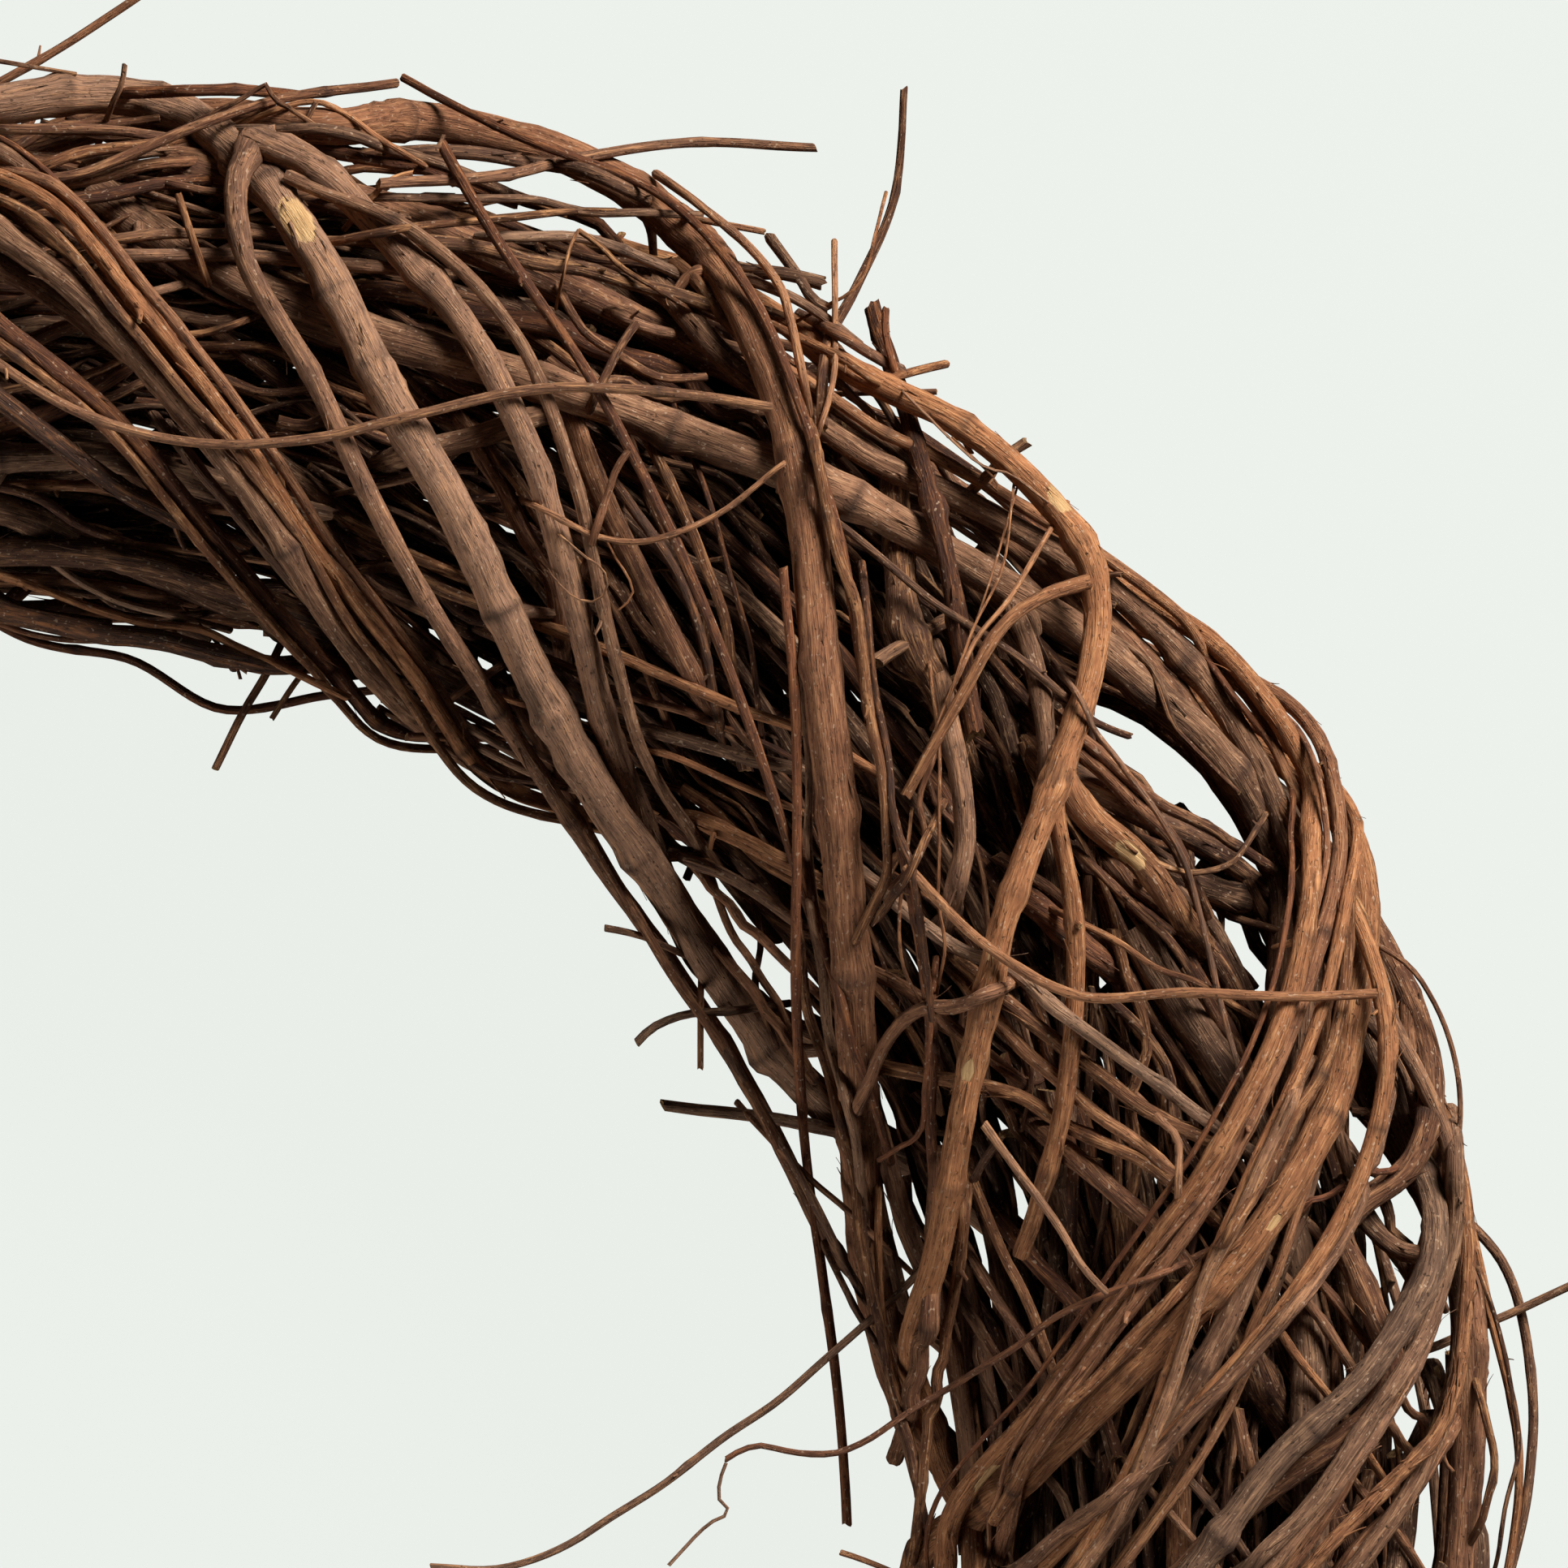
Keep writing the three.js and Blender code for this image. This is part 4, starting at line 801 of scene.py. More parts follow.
def from_the_knot(points, radii, lift, spots):
    """An arm whose hidden first point gives way to the spots it passes at the knot."""
    return np.vstack([on_face(spots, lift), points[1:]]), np.concatenate([ARM_FLARE * radii[0], radii[1:]])


def grow_cane(heap, rng, points, radii, look, stubs, every):
    """A cane with stubs at a share of its knots, and loose strips of bark so far apart, if it has them."""
    line, radius, along, knots = add_cane(heap, rng, points, radii, look)
    add_stubs(heap, rng, line, radius, along, knots, look, stubs)
    if every:
        add_slivers(heap, rng, line, radius, along, look, every)
    return line, radius


def dress_solids(rng):
    """A barked cane in place of each solid. Returns each node's lines and radii."""
    dressed = {}
    for name in sorted(frame["nodes"]):
        heap = Heap()
        dressed[name] = []
        for index, (points, radii) in enumerate(canes_of(frame["nodes"][name])):
            if (name, index) in ARM_STARTS:
                points, radii = from_the_knot(points, radii, *ARM_STARTS[name, index])
            seen = seen_close(points).any()
            look = cane_look(rng, radii.mean(), seen=seen)
            if name in TONES:
                look["tone"] = np.array(TONES[name]) if index == 0 else 0.5 * (look["tone"] + TONES[name])
            every = SLIVERS_EVERY if seen else None
            dressed[name].append(grow_cane(heap, rng, points, radii, look, SOLID_STUBS, every))
        heap.finish(f"{name}_bark", SLOT_OF[name], name)
    return dressed


# Finding room between canes

# Gaps in the bundle that one sees the table through, in the solids too: x, y and half-width, in mm
SEE_THROUGH = [
    (165, 127.4, 2.1), (168, 126.1, 3.0), (171.5, 124.1, 3.7), (176.5, 119.8, 4.1), (181.6, 116.5, 3.3),
    (185, 112.6, 1.9), (105, 101.6, 1.0), (109.2, 98.4, 1.2), (108.6, 92.3, 1.3), (112.6, 84.9, 1.4),
    (104.1, 108.8, 0.6), (116.3, 85.5, 1.0), (206.6, 57, 1.3), (210.8, 53.6, 1.3), (212.2, 49.5, 1.3),
    (202.4, 41.5, 1.4), (213, 17.8, 1.6), (223.5, 15.5, 1.8), (224.2, 10.9, 1.8), (225.3, 5, 1.5),
    (215.9, 5, 1.0), (197.2, 52.2, 1.2), (137.5, 29, 1.6), (138, 24, 1.8), (153.3, 51, 0.8),
    (186, 95.5, 1.1), (190, 88.5, 1.1), (17.7, 159, 0.5), (31, 143.5, 0.8), (201.2, 92.5, 0.8),
]
BLOCKED = 0.8  # the share of a gap that a line may not come into
OFF_TABLE = 0.5 * MM
SPOTS_EVERY = 2.5 * MM  # along laid canes
# How far round a line's points laid canes are looked for, past its own radius, and how much it moves at once
OVER_REACH, OVER_STEP = 4.2 * MM, 3 * MM
CLEAR_REACH, CLEAR_STEP = 3.6 * MM, 2 * MM
CROSSING = 0.9  # the share of two radii within which lines cross
EASE_LENGTH = 5 * MM  # over which a line rises to pass another
OVER_ROUNDS = 4
EASE, CLEAR_EASE = 0.8, 0.6  # the share of the way that is moved in one round
SLACK = 0.15 * MM  # left between canes


def spots_of(laid):
    """Points close together along laid canes, with each one's radius, and a finder of those near a point."""
    points, radii = [], []
    for line, radius in laid:
        far = lengths_along(line)
        at = np.arange(0, far[-1], SPOTS_EVERY)
        points.append(at_spots(line, far, at))
        radii.append(np.interp(at, far, radius))
    points = np.concatenate(points)
    tree = KDTree(len(points))
    for i, point in enumerate(points):
        tree.insert(point, i)
    tree.balance()
    return tree, np.concatenate(radii)


def over_or_under(line, radius, tree, others, over):
    """Raises or lowers a line so that it passes over, or under, each cane it would run into."""
    far = lengths_along(line)
    for _ in range(OVER_ROUNDS):
        shift = np.zeros(len(line))
        for i, point in enumerate(line):
            for spot, index, _ in tree.find_range(point, radius + OVER_REACH):
                apart = radius + others[index]
                flat = math.hypot(point[0] - spot[0], point[1] - spot[1])
                if flat < CROSSING * apart:
                    wanted = math.sqrt(apart**2 - flat**2)
                    gap = point[2] - spot[2]
                    if abs(gap) < wanted:
                        move = wanted - gap if over else -wanted - gap
                        if abs(move) > abs(shift[i]):
                            shift[i] = move
        shift = np.clip(shift, -OVER_STEP, OVER_STEP)
        spread = bell(far[:, None] - far[None, :], EASE_LENGTH) * shift
        most = spread[np.arange(len(line)), np.abs(spread).argmax(1)]
        line = line + np.column_stack([np.zeros((len(line), 2)), EASE * most])
    line[:, 2] = np.maximum(line[:, 2], radius + OFF_TABLE)
    return line


def clear_windows(line, radius):
    """Moves a line sideways out of the gaps that stay open."""
    for x, y, half in SEE_THROUGH:
        away = line[:, :2] - np.array([x, y]) * MM
        gap = np.linalg.norm(away, axis=1)
        push = np.maximum(half * MM + radius - gap, 0) / np.maximum(gap, 1e-5)
        line[:, :2] += away * push[:, None]
    return line


def blocks_a_gap(line, radius):
    """True for a line that still runs over one of the gaps that stay open."""
    dense = smooth_line(line, 1 * MM)
    return any(off_spot(dense, x, y).min() < BLOCKED * half * MM + radius for x, y, half in SEE_THROUGH)


def push_clear(line, radius, tree, others, rounds):
    """Moves a line off the canes already laid, a little at a time, keeping it smooth."""
    for _ in range(rounds):
        moved = np.zeros(line.shape)
        for i, point in enumerate(line):
            for spot, index, gap in tree.find_range(point, radius + CLEAR_REACH):
                short = radius + others[index] + SLACK - gap
                if short > 0:
                    moved[i] += (point - np.array(spot)) / max(gap, 1e-5) * short * CLEAR_EASE
        moved = np.clip(moved, -CLEAR_STEP, CLEAR_STEP)
        moved[1:-1] = 0.5 * moved[1:-1] + 0.25 * (moved[:-2] + moved[2:])
        line = clear_windows(line + moved, radius)
        line[:, 2] = np.maximum(line[:, 2], radius + OFF_TABLE)
    return line


# The lesser canes of the quarter that is seen close up

# For each bark, one line a strand: width in mm, lift (half-depths out from the bundle's middle), free ends
# (1 the start, 2 the end, 3 both), and its route: x,y in mm as seen from above
FACE_STRANDS = {
    "grey": """
2.3 .97 0 14,217 20,218 29,219
1.1 .93 0 18,210 24,208 30,206 39,204
1.5 .9 0 17,195 24,197 30,198 36,200
1.9 1.02 0 36,221 43,221 48,220 53,218 60,216 65,214
1.4 1.0 0 52,210 61,210 69,210 76,210 84,208 93,208
1.8 .94 0 67,204 75,204 84,204 93,201 102,197
3.8 .88 0 58,170 66,172 74,175
1.0 .86 0 47,164 53,165 60,167 67,172
2.3 .9 0 79,131 86,129 94,127 102,125 114,122
1.5 .94 0 23,170 30,161 36,153 42,146 48,140 56,132 65,128 74,123
1.5 .85 0 60,128 66,125 74,121 81,118 89,116 94,112
4.6 .82 0 -10,162 -1,159 6,156 13,153 20,150 29,146 38,142
1.3 .9 0 -9,156 -1,154 5,150 11,147 19,145
1.4 .7 1 92,78 94,80 98,82 107,83
2.4 .95 2 102,200 106,200 110,199 117,198 121,197
1.8 1.0 2 111,197 116,195 121,192 127,187
2.5 .95 0 119,180 125,176 131,172 137,167
3.3 .95 0 150,147 153,140 155,131 156,121
1.3 .99 0 116.5,166 117.3,157 118,147 118,133 119,121 119,108 120,100
1.7 1.02 0 119,100 121,90 122,80 124,72 126,64 127,55
2.3 1.0 0 130,102 136,97 142,93 150,90 157,84 165,78 173,72 183,65
4.4 .74 0 162,113.5 170,108.5 177,104 183.5,101.5 189,99 195,93
3.4 .56 0 152,96 158,88 164,80 170,72 177,64
2.8 .6 0 126,146 132,138 138,130 144,122
2.4 .7 0 128,66 130,52 133,40
3.0 .62 0 161,60 163.5,50 166,38 167,26
2.6 .72 0 176,102 181,98 184,93 186.3,88 188.3,83 191,78
1.8 .9 0 142,39 148,29 154,19
2.3 .95 0 201,64 204,55 209,47 213,41
2.8 1.02 0 220,58 220,50 218,41 215,33 208,23 202,14 196,6 189,-1
3.6 .85 0 220,18 223,9 224,-1 224,-6
1.8 1.0 2 118,197 120,194 122,193
""",
    "brown": """
1.8 .97 0 -6,221 0,221 8,221 17,220 24,219
1.9 .96 0 1,212 8,213 15,215 23,216 30,217
1.3 .95 0 20,212 25,211 32,211 38,210 44,211
2.2 .92 0 12,201 20,201 30,201 43,200 55,199
.9 1.1 0 29,225 31,226 34,228 35,226 38,224
2.3 .97 0 57,217 66,217 75,216 83,215 90,212
1.5 .9 2 80,196 82,192 84,189 90,185 95,182 103,182
1.9 .9 0 89,192 93,190 98,189 104,188 110,186
2.8 .86 0 67,171 71,165 75,157 79,150 80,143
3.6 .92 0 82,176 86,166 91,155 96,145 101,135
1.5 .9 0 87,149 91,142 94,136 96,131
1.5 .84 0 43,161 47,154 52,149 60,145
1.5 .9 0 74,140 81,137 89,133 99,130
2.0 .85 0 100,107 107,104 112,101 117,97
1.8 .8 0 103,95 107,90 112,84 117,76
1.8 .96 0 21,171 27,164 33,157 39,150 46,141 53,134 58,129
1.1 .82 0 59,126 64,123 69,120 75,119 81,118
1.3 .85 0 62,131 70,127 77,123 84,119
1.8 .9 0 45,144 50,138 55,133 60,129
1.5 .86 0 -8,165 -1,163 5,159 13,156 21,153 29,150 39,147 46,145
2.2 .84 0 -10,150.5 0,150.5 9,149.5 18,148
1.6 .8 0 102,104.5 106.5,99.8 109,97 114,92 118,88
1.3 .76 0 104,103 107,95 111,89 115,82 118,76
1.1 .72 0 110,101 111.5,94 110.5,87 113,80
1.0 .84 0 -9,144 -3,142 4,141 10,141
.6 .88 2 26,141 29,138 30,135
.6 .88 2 24,140 28,138 31,136
1.4 .78 2 36,140 34,136 31,131 26,121
1.5 .8 0 106,77 110,70 115,62 120,53 124,45 128,38
1.1 .78 0 114,62 119,57 126,51 131,46
1.1 .75 2 102,83 102,78 102,74
1.1 .75 1 87,96 92,95 99,92
1.7 .78 0 74,130 81,117 89,103 98,88 107,75 114,62
1.1 .95 2 102,207 107,206 112,205
1.1 .9 2 130,180 135,180 139,180
1.3 .96 0 123,182 130,175 135,170 139,166
1.3 1.02 0 126,157 132,152 138,147 146,142 152,138 158,133
3.6 .98 0 140,131 142,122 143,114 143,108 142,104
1.0 1.02 0 138,122 136,116 137,110 135,106 132,103
2.3 1.06 0 146,86 141,84 137,84 133,81 130,76 128,71
2.3 .9 0 127,90 135,86 142,80 150,74
1.5 .9 0 163,106 169,100 176,93 180,86
3.6 .8 0 163,118.5 171,113.8 178.5,110.6 184.5,107 189,103.5 195,98
3.4 .72 0 168,105 175,99.5 180.5,94.5 184,89.5 187,84 190,78
3.2 .6 0 158,100 164,92 170,84 176,76 182,68
3.0 .58 0 164,101 170,94 176,86 183,77
3.0 .6 0 122,140 128,133 134,126 140,119
3.2 .7 0 131,62 135,48 140.5,34 143,20 145,6
2.8 .62 0 146,58 149,44 152,30 154,16
3.0 .6 0 156,62 158.5,47 160,33 162,20
2.8 .74 0 184,108 188,102 190.5,97 193,92 196,86
2.5 .9 0 160,124 165,120 170,115 176,109.5 179,103
1.9 .93 0 160,127 166,122 171,117.5 177,114 183,111 189,107
1.3 .95 2 161,130 164,128 169,126
3.3 .92 0 159,61 165,56 173,49 178,43
2.0 .92 0 144,45 150,36 156,27 160,20
1.5 .9 0 146,33 151,25 157,18
1.5 1.06 0 154,14 161,23 168,30 174,37
2.5 1.08 0 152,-3 161,5 170,12 177,20 184,27 190,34 198,43 204,53 208,66
1.7 .98 0 127,57 128,45 130,36 132,25 135,15 137,4
1.1 .85 0 125,39 127,35 130,30 132,23 134,15
3.0 1.0 0 139,52 138,38 137,28 135,21
5.6 .8 0 185,33 191,23 196,13 201,3
1.5 .87 0 194,47 201,38 207,30 213,20
1.5 .86 0 175,14 182,6 187,-1
1.8 .86 0 190,10 196,3 201,-5
1.5 .84 0 207,6 212,0 216,-6
1.8 .98 0 207,80 211,75 214,66 216,58 218,51
1.8 .9 0 205,60 208,56 212,48 215,43
3.0 .98 0 221,20 216,13 211,6 204,-1 201,-5
.8 .95 0 224,42 227,33 229,23 230,14 228,6 227,-1
.8 1.0 0 206,95 210,87 211,77 209,69
.9 .95 0 207,94 213,90 217,84 220,76 221,67 220,59
1.3 .9 3 149,64 145,57 142,50 137,43 131,37 122,29 114,22 105,16 96,9 88,4 82,0 71,-4 60,-4
1.0 .6 3 124,-2 127,-3 132,-5
.6 .6 3 106,12 105,9 105,6 107,5 104,3 97,-4
1.5 1.0 2 88,183 90,187 92,190
1.3 1.06 2 86,158 88,164 89,167 91,170
1.3 .92 2 66,134 63,132 61,129 59,126
1.5 .92 2 60,126 58,126 56,126
2.3 .98 2 187,14 186,18 185,22
""",
    "red": """
2.2 .93 0 0,209 8,210 17,212 24,213 32,214
2.5 .78 0 -10,185 -3,187 5,190 12,191
3.3 .74 0 -10,173 -1,176 5,179 13,184
1.9 1.05 0 21,227 26,227 30,227
2.0 .99 0 39,218 46,217 52,216 58,215 64,213
1.0 .87 0 100,172 104,161 107,150 110,140 111,132
1.7 .88 0 92,161 98,152 102,142 104,133
.8 .78 0 -6,169 3,169 11,168 23,168 30,167
3.3 .86 0 -11,146 -1,144 8,142 17,141 25,139 34,137 43,137 50,136
2.0 .8 0 -10,158 0,153.5 10,151 22,148.5 32,145.5
2.0 1.0 2 125,188 130,185 134,183
1.5 1.03 0 119,104 121,95 124,86 126,78 129,70 131,63
1.3 1.12 0 128,144 129,133 131,123 132,113 135,105 136,98 137,91 138,83
1.0 1.13 2 138,83 137,72 136,64 133,62 130,60
1.0 1.02 0 162,130 167,122 173,114 177,107 180,97 183,84 186,73
4.1 .78 0 155,99 165,91 173,85 180,78 187,72
2.4 .7 0 170,99 176,94 180,88 184,81 187,75
2.8 .6 0 157,82 163,74 169,66 175,58
2.6 .66 0 138,60 143,45 146,31 148,17 150,4
2.8 .8 0 150,49 156,42 163,35
1.1 1.0 0 196,52 202,56 208,58
1.1 1.1 2 173,43 165,40 157,36 151,31 145,27 139,23 134,20 128,16 123,14 117,14 110,15 106,13
1.3 1.04 2 132,185 131,189 131,193
""",
    "tan": """
1.9 .99 0 0,215 5,217 11,218 18,219 25,221
1.7 .94 0 10,203 18,204 25,204 34,204 43,203 53,203
1.3 .84 0 17,188 27,189 34,192 43,195
1.3 .8 0 -9,179 0,181 9,183 13,185
1.0 1.08 0 36,224 39,225 43,225 47,223 51,220 56,217
1.4 1.02 2 47,203 58,205 66,206 74,207 81,208 89,208
2.5 .99 0 58,203 69,202 76,200 84,199 91,197 99,195 105,193
.9 1.03 1 83,205 86,203 90,199 95,196
.6 1.03 1 83,205 82,203 81,199
2.0 .88 0 70,170 74,165 77,160 82,154
1.8 .88 0 94,172 99,162 103,152 106,144 107,137
1.0 1.08 0 80,160 86,157 93,156 100,158 106,161 111,165
2.0 .86 0 43,163 48,159 53,156 60,153
2.0 .9 0 48,152 55,152 61,149 69,146 76,144 84,141
1.8 .96 0 72,145 80,142 88,139 95,136 102,133 109,130 118,127 127,122
1.1 .95 0 75,131 84,128 90,125 98,123 107,119 114,116
2.8 .88 0 98,114 104,112 110,109 116,106
1.1 .95 0 37,165 38,159 41,152 44,146 45,143
1.0 .9 2 45,143 43,140 39,135 35,129
1.8 .8 0 -4,165 5,165 14,164 21,162 29,161
1.1 .84 0 8,157 14,156 22,155 29,154 36,153
1.4 .9 2 -9,152 0,149 8,146 15,144 24,143 30,140 37,137 43,134 47,132
2.1 1.1 0 203,101 202.6,91 201,81 198,73 193.5,66.5 189,57.5 184,50
.45 1.16 0 137.3,176 141.7,171.7 146.6,167.8 150.4,166.9 154.2,164
.4 1.14 0 147.6,166.4 148.8,165.1 148.3,163.6 147.1,164.6 147.8,166.2
.45 1.2 0 150.4,161.5 149,152.4 143.6,141 140.7,132.2
.4 1.16 0 150.4,161.5 145.5,145.7 141.2,134.1 138.4,127
.4 1.1 0 84,154 88,150.5 86.5,147 82,147.8 80,150
.4 1.1 2 90,152 92,148.5 89.5,145.5
1.5 1.12 0 102,209 107,205 111,201 114,197 116,191 117,186 118,181
1.0 1.1 0 123,195 123,190 123,184 122,178 121,175
.6 1.1 0 129,203 128,199 125,195 123,194
1.5 1.0 0 116,189 122,186 127,183 129,181 132,182
1.5 .98 0 126,184 130,179 133,174 137,168
.9 1.14 0 156,157 153,152 150,147 145,141 142,135
4.8 .87 0 132,166 132.5,161 133,152 134,145 136,139 139,134 141,129
2.4 .93 2 135,141 132.5,139.5 129.5,137.5
1.7 1.0 0 118,91 119,83 122,74 124,65 126,58 127,48 129,38
1.7 1.13 0 120.5,167 122,160 124,152 126,147 127,140 128,131 130,121 131,110 131,104 129,100
1.5 1.13 0 129,100 128,98 129,97 131,100 134,104 136,108
.6 1.08 0 138,133 139,124 139,116 139,108 139,99 140,94 139,88
.6 1.05 0 134,107 133,99 133,94 134,89 135,87
2.5 .98 0 148,87 155,81 163,75 170,69 177,65 182,63
2.3 .96 0 147,83 152,77 158,72 164,67 171,62 176,57
2.3 .97 0 132,74 138,73 145,72 152,70 158,66 164,63 171,60 177,55
1.3 1.15 3 146,66 151,59 157,51 162,43 165,40
4.6 .95 0 159,118 163,113 170,107 176,99
1.1 .98 0 161,97 167,94 173,90 179,88 184,85
1.0 .97 0 170,108 177,105 184,106 189,112
1.3 1.1 0 175,65 176,64 176,60 176,57
1.8 .92 0 145,55 149,46 153,38 156,30 158,24
2.2 1.1 0 152,11 157,20 164,27 170,34 176,40
2.3 1.14 0 159,-6 166,4 170,13 174,23 177,32 180,42 185,51 189,60 193,68
1.7 1.02 0 165,-6 173,5 179,14 184,23 188,32
1.3 .97 0 130,57 130,44 131,32 134,20
1.9 1.02 0 143,52 142,43 140,32 138,23 137,15 136,5
1.5 .86 0 189,39 194,31 201,22 207,13
1.7 .87 0 190,45 198,36 204,27 211,17
1.8 .86 0 195,52 203,42 208,33
1.3 .86 0 171,10 178,2 183,-4
1.4 .98 0 223,27 225,19 226,13 225,5 221,-3
1.0 1.05 0 203,103 206,98 207,93
.8 .6 2 -8,232 -2,231 4,230
1.0 1.05 2 11,227 12,229 12,231
1.3 1.0 2 23,204 22,207 21,210
1.0 1.06 2 40,221 41,223 42,225
1.0 1.02 2 51,210 54,213 57,214
1.8 1.1 2 148,168 150,170 153,172
""",
}
DIVE = np.array([[4, 5], [9, 15]]) * MM  # how far on a hidden end runs, and how deep it goes, at two points
DOWN = np.array([0, 0, -1])
ROUTE_STEP = 3 * MM
STRAND_TAPER = (1.04, 0.92)
SWOLLEN_END = 1.1  # by what a stouter strand's cut end is thicker
SWOLLEN_FROM = 1.6  # mm wide
STRAND_STUBS = 0.25
STRAND_SLIVERS = 1.6 * SLIVERS_EVERY
TOP_LIFT = 1.0  # strands from this lift on pass over the canes they cross, the others under them


def strands_in(table):
    """The strands in a table: width in mm, lift, free ends and route."""
    for line in table.strip().split("\n"):
        width, lift, free, *route = line.split()
        yield float(width), float(lift), int(free), [[float(v) for v in spot.split(",")] for spot in route]


def lay_route(route, lift, free):
    """A route on the bundle's face; its ends dive in unless they are free."""
    points = on_face(route, lift)
    first, last = unit(points[0] - points[1]), unit(points[-1] - points[-2])
    if not free & 1:
        points = np.vstack([[points[0] + on * first + deep * DOWN for on, deep in DIVE[::-1]], points])
    if not free & 2:
        points = np.vstack([points, [points[-1] + on * last + deep * DOWN for on, deep in DIVE]])
    return points


def face_strands(rng, laid):
    """The lesser canes and twigs of the face, one piece for each bark."""
    tree, others = spots_of(laid)
    fresh = []
    for bark, table in FACE_STRANDS.items():
        heap = Heap()
        for width, lift, free, route in strands_in(table):
            radius = width / 2 * MM
            line = smooth_line(lay_route(route, lift, free), ROUTE_STEP)
            line = over_or_under(line, radius, tree, others, lift >= TOP_LIFT)
            if not free:
                line = clear_windows(line, radius)
            radii = np.linspace(*STRAND_TAPER, len(line)) * radius
            if width > SWOLLEN_FROM and free & 2:
                radii[-1] *= SWOLLEN_END
            look = cane_look(rng, radius)
            fresh.append(grow_cane(heap, rng, line, radii, look, STRAND_STUBS, STRAND_SLIVERS))
        heap.finish(f"face_strands_{bark}", f"{bark}_bark")
    laid.extend(fresh)


# Tones of the twigs and strands that lie deep: darker bark, as painted shade. What the drawn tone is
# multiplied
# by, and what is added: lightness, depth and wear.
SHADED_TONE = np.array([[0.4, 0.5, 0.5], [0.0, 0.5, 0.0]])

# Sheaves: solids that thin twigs run along, and how many
SHEAVES = {
    "bundle_wrap_1": 1, "bundle_wrap_2": 1, "left_wrap": 1, "orange_wrap": 2,
    "wide_left_wrap": 1, "second_left_wrap": 2, "upper_cane": 1,
}
SHEAF_WIDTHS, SHEAF_STEP = (0.9, 2.1), 2.4  # mm
SHEAF_REACH = 16 * MM  # how far down the bundle's side their ends go
SHEAF_SIDES = 8
# Twigs under the face, and stouter ones under those: how many, widths in mm, lifts, and steps in mm
LOW_TWIGS = [(180, (0.8, 2.2), (0.5, 0.8), 2.4), (210, (1.6, 3.6), (-0.6, 0.45), 4)]
LOW_SIDES = 6
LOW_LENGTHS = (28, 95)  # mm
LOW_CLOCKS = (-6, 100)  # degrees round the ring between which their middles are
LOW_POINTS = 9
LOW_WIDEST = 0.93  # how far to the bundle's side they go, as a share of its half-width
TWIG_STEP = 4 * MM
TWIG_ROUNDS = 4
TWIG_BARKS = ("tan", "brown", "red", "grey")
SHEAF_SHARES, LOW_SHARES = [0.45, 0.3, 0.15, 0.1], [0.25, 0.4, 0.2, 0.15]  # of each bark


def beside(rng, line, radius, own):
    """A line along a cane's visible stretch and a little beyond, at its side or just under it."""
    seen = seen_close(line) & (line[:, 2] > MID_HEIGHT - SHEAF_REACH)
    first, last = np.flatnonzero(seen)[[0, -1]]
    part = line[first:last]
    side = unit(np.cross(unit(np.gradient(part, axis=0)), [0, 0, 1]))
    angle = rng.choice([-1, 1]) * rng.uniform(0.9, 2.0) + 0.5 * wander(rng, lengths_along(part), 40 * MM)
    away = (radius[first:last] + own) * rng.uniform(1.05, 1.5)
    return part + away[:, None] * (np.sin(angle)[:, None] * side + np.cos(angle)[:, None] * [0, 0, 1])


def low_line(rng, lifts):
    """A twig's line a little way under the face, more or less along the ring."""
    clock = rng.uniform(*LOW_CLOCKS)
    span = np.degrees(rng.uniform(*LOW_LENGTHS) * MM / RING_RADIUS)
    t = np.linspace(0, 1, LOW_POINTS)
    across = rng.uniform(-0.85, 0.85) + rng.uniform(-0.45, 0.45) * (t - 0.5)
    across += 0.05 * rng.uniform(-1, 1, LOW_POINTS)
    spots = np.clip(across, -LOW_WIDEST, LOW_WIDEST) * HALF_WIDTH + RING_RADIUS
    angle = np.radians(clock + span * (t - 0.5))
    x, y = spots * np.sin(angle), spots * np.cos(angle)
    return np.column_stack([x, y, face_height(x, y, rng.uniform(*lifts))])


def thin_twigs(rng, dressed, laid):
    """The thin twigs that run with the canes of the face, and under them."""
    tree, others = spots_of(laid)
    fresh = []
    wanted = []
    for name, count in SHEAVES.items():
        wanted += [(name, SHEAF_WIDTHS, SHEAF_STEP, None)] * count
    for count, widths, lifts, step in LOW_TWIGS:
        wanted += [(None, widths, step, low_line(rng, lifts)) for _ in range(count)]
    heaps = {bark: Heap() for bark in TWIG_BARKS}
    for name, widths, step, line in wanted:
        radius = rng.uniform(*widths) * MM / 2
        if name:
            line = beside(rng, *dressed[name][0], radius)
        line = push_clear(smooth_line(line, TWIG_STEP), radius, tree, others, TWIG_ROUNDS)
        look = cane_look(rng, radius, sides=SHEAF_SIDES if name else LOW_SIDES, fine=step * MM)
        if not name:
            # painted shade: twigs under the face get a darker tone
            look["tone"] = look["tone"] * SHADED_TONE[0] + SHADED_TONE[1]
            if blocks_a_gap(line, radius):
                continue
        bark = rng.choice(TWIG_BARKS, p=SHEAF_SHARES if name else LOW_SHARES)
        line, radii, _, _ = add_cane(heaps[bark], rng, line, np.linspace(1, 0.75, len(line)) * radius, look)
        fresh.append((line, radii))
    for bark, heap in heaps.items():
        heap.finish(f"thin_twigs_{bark}", f"{bark}_bark")
    laid.extend(fresh)


# The strands inside the bundle

FILL_BARKS = ("brown", "grey", "red", "brown", "tan", "grey")  # one piece each
FILL_STRANDS = 66  # in each piece
FILL_RADII = [0.8, 1.0, 1.3, 1.7, 2.2]  # mm
FILL_SHARES = [0.25, 0.25, 0.25, 0.15, 0.1]  # how many have each of them
FILL_STEP = 6 * MM
FILL_ROUNDS = 5
FILL_TAPER = (1.1, 0.8)
FILL_SPANS = (50, 150)  # degrees round the ring
FILL_OUTS = (0.12, 0.8)  # how far out they lie, squared, as a share
FILL_WINDING = 0.4  # the share of them that wind round in the bundle
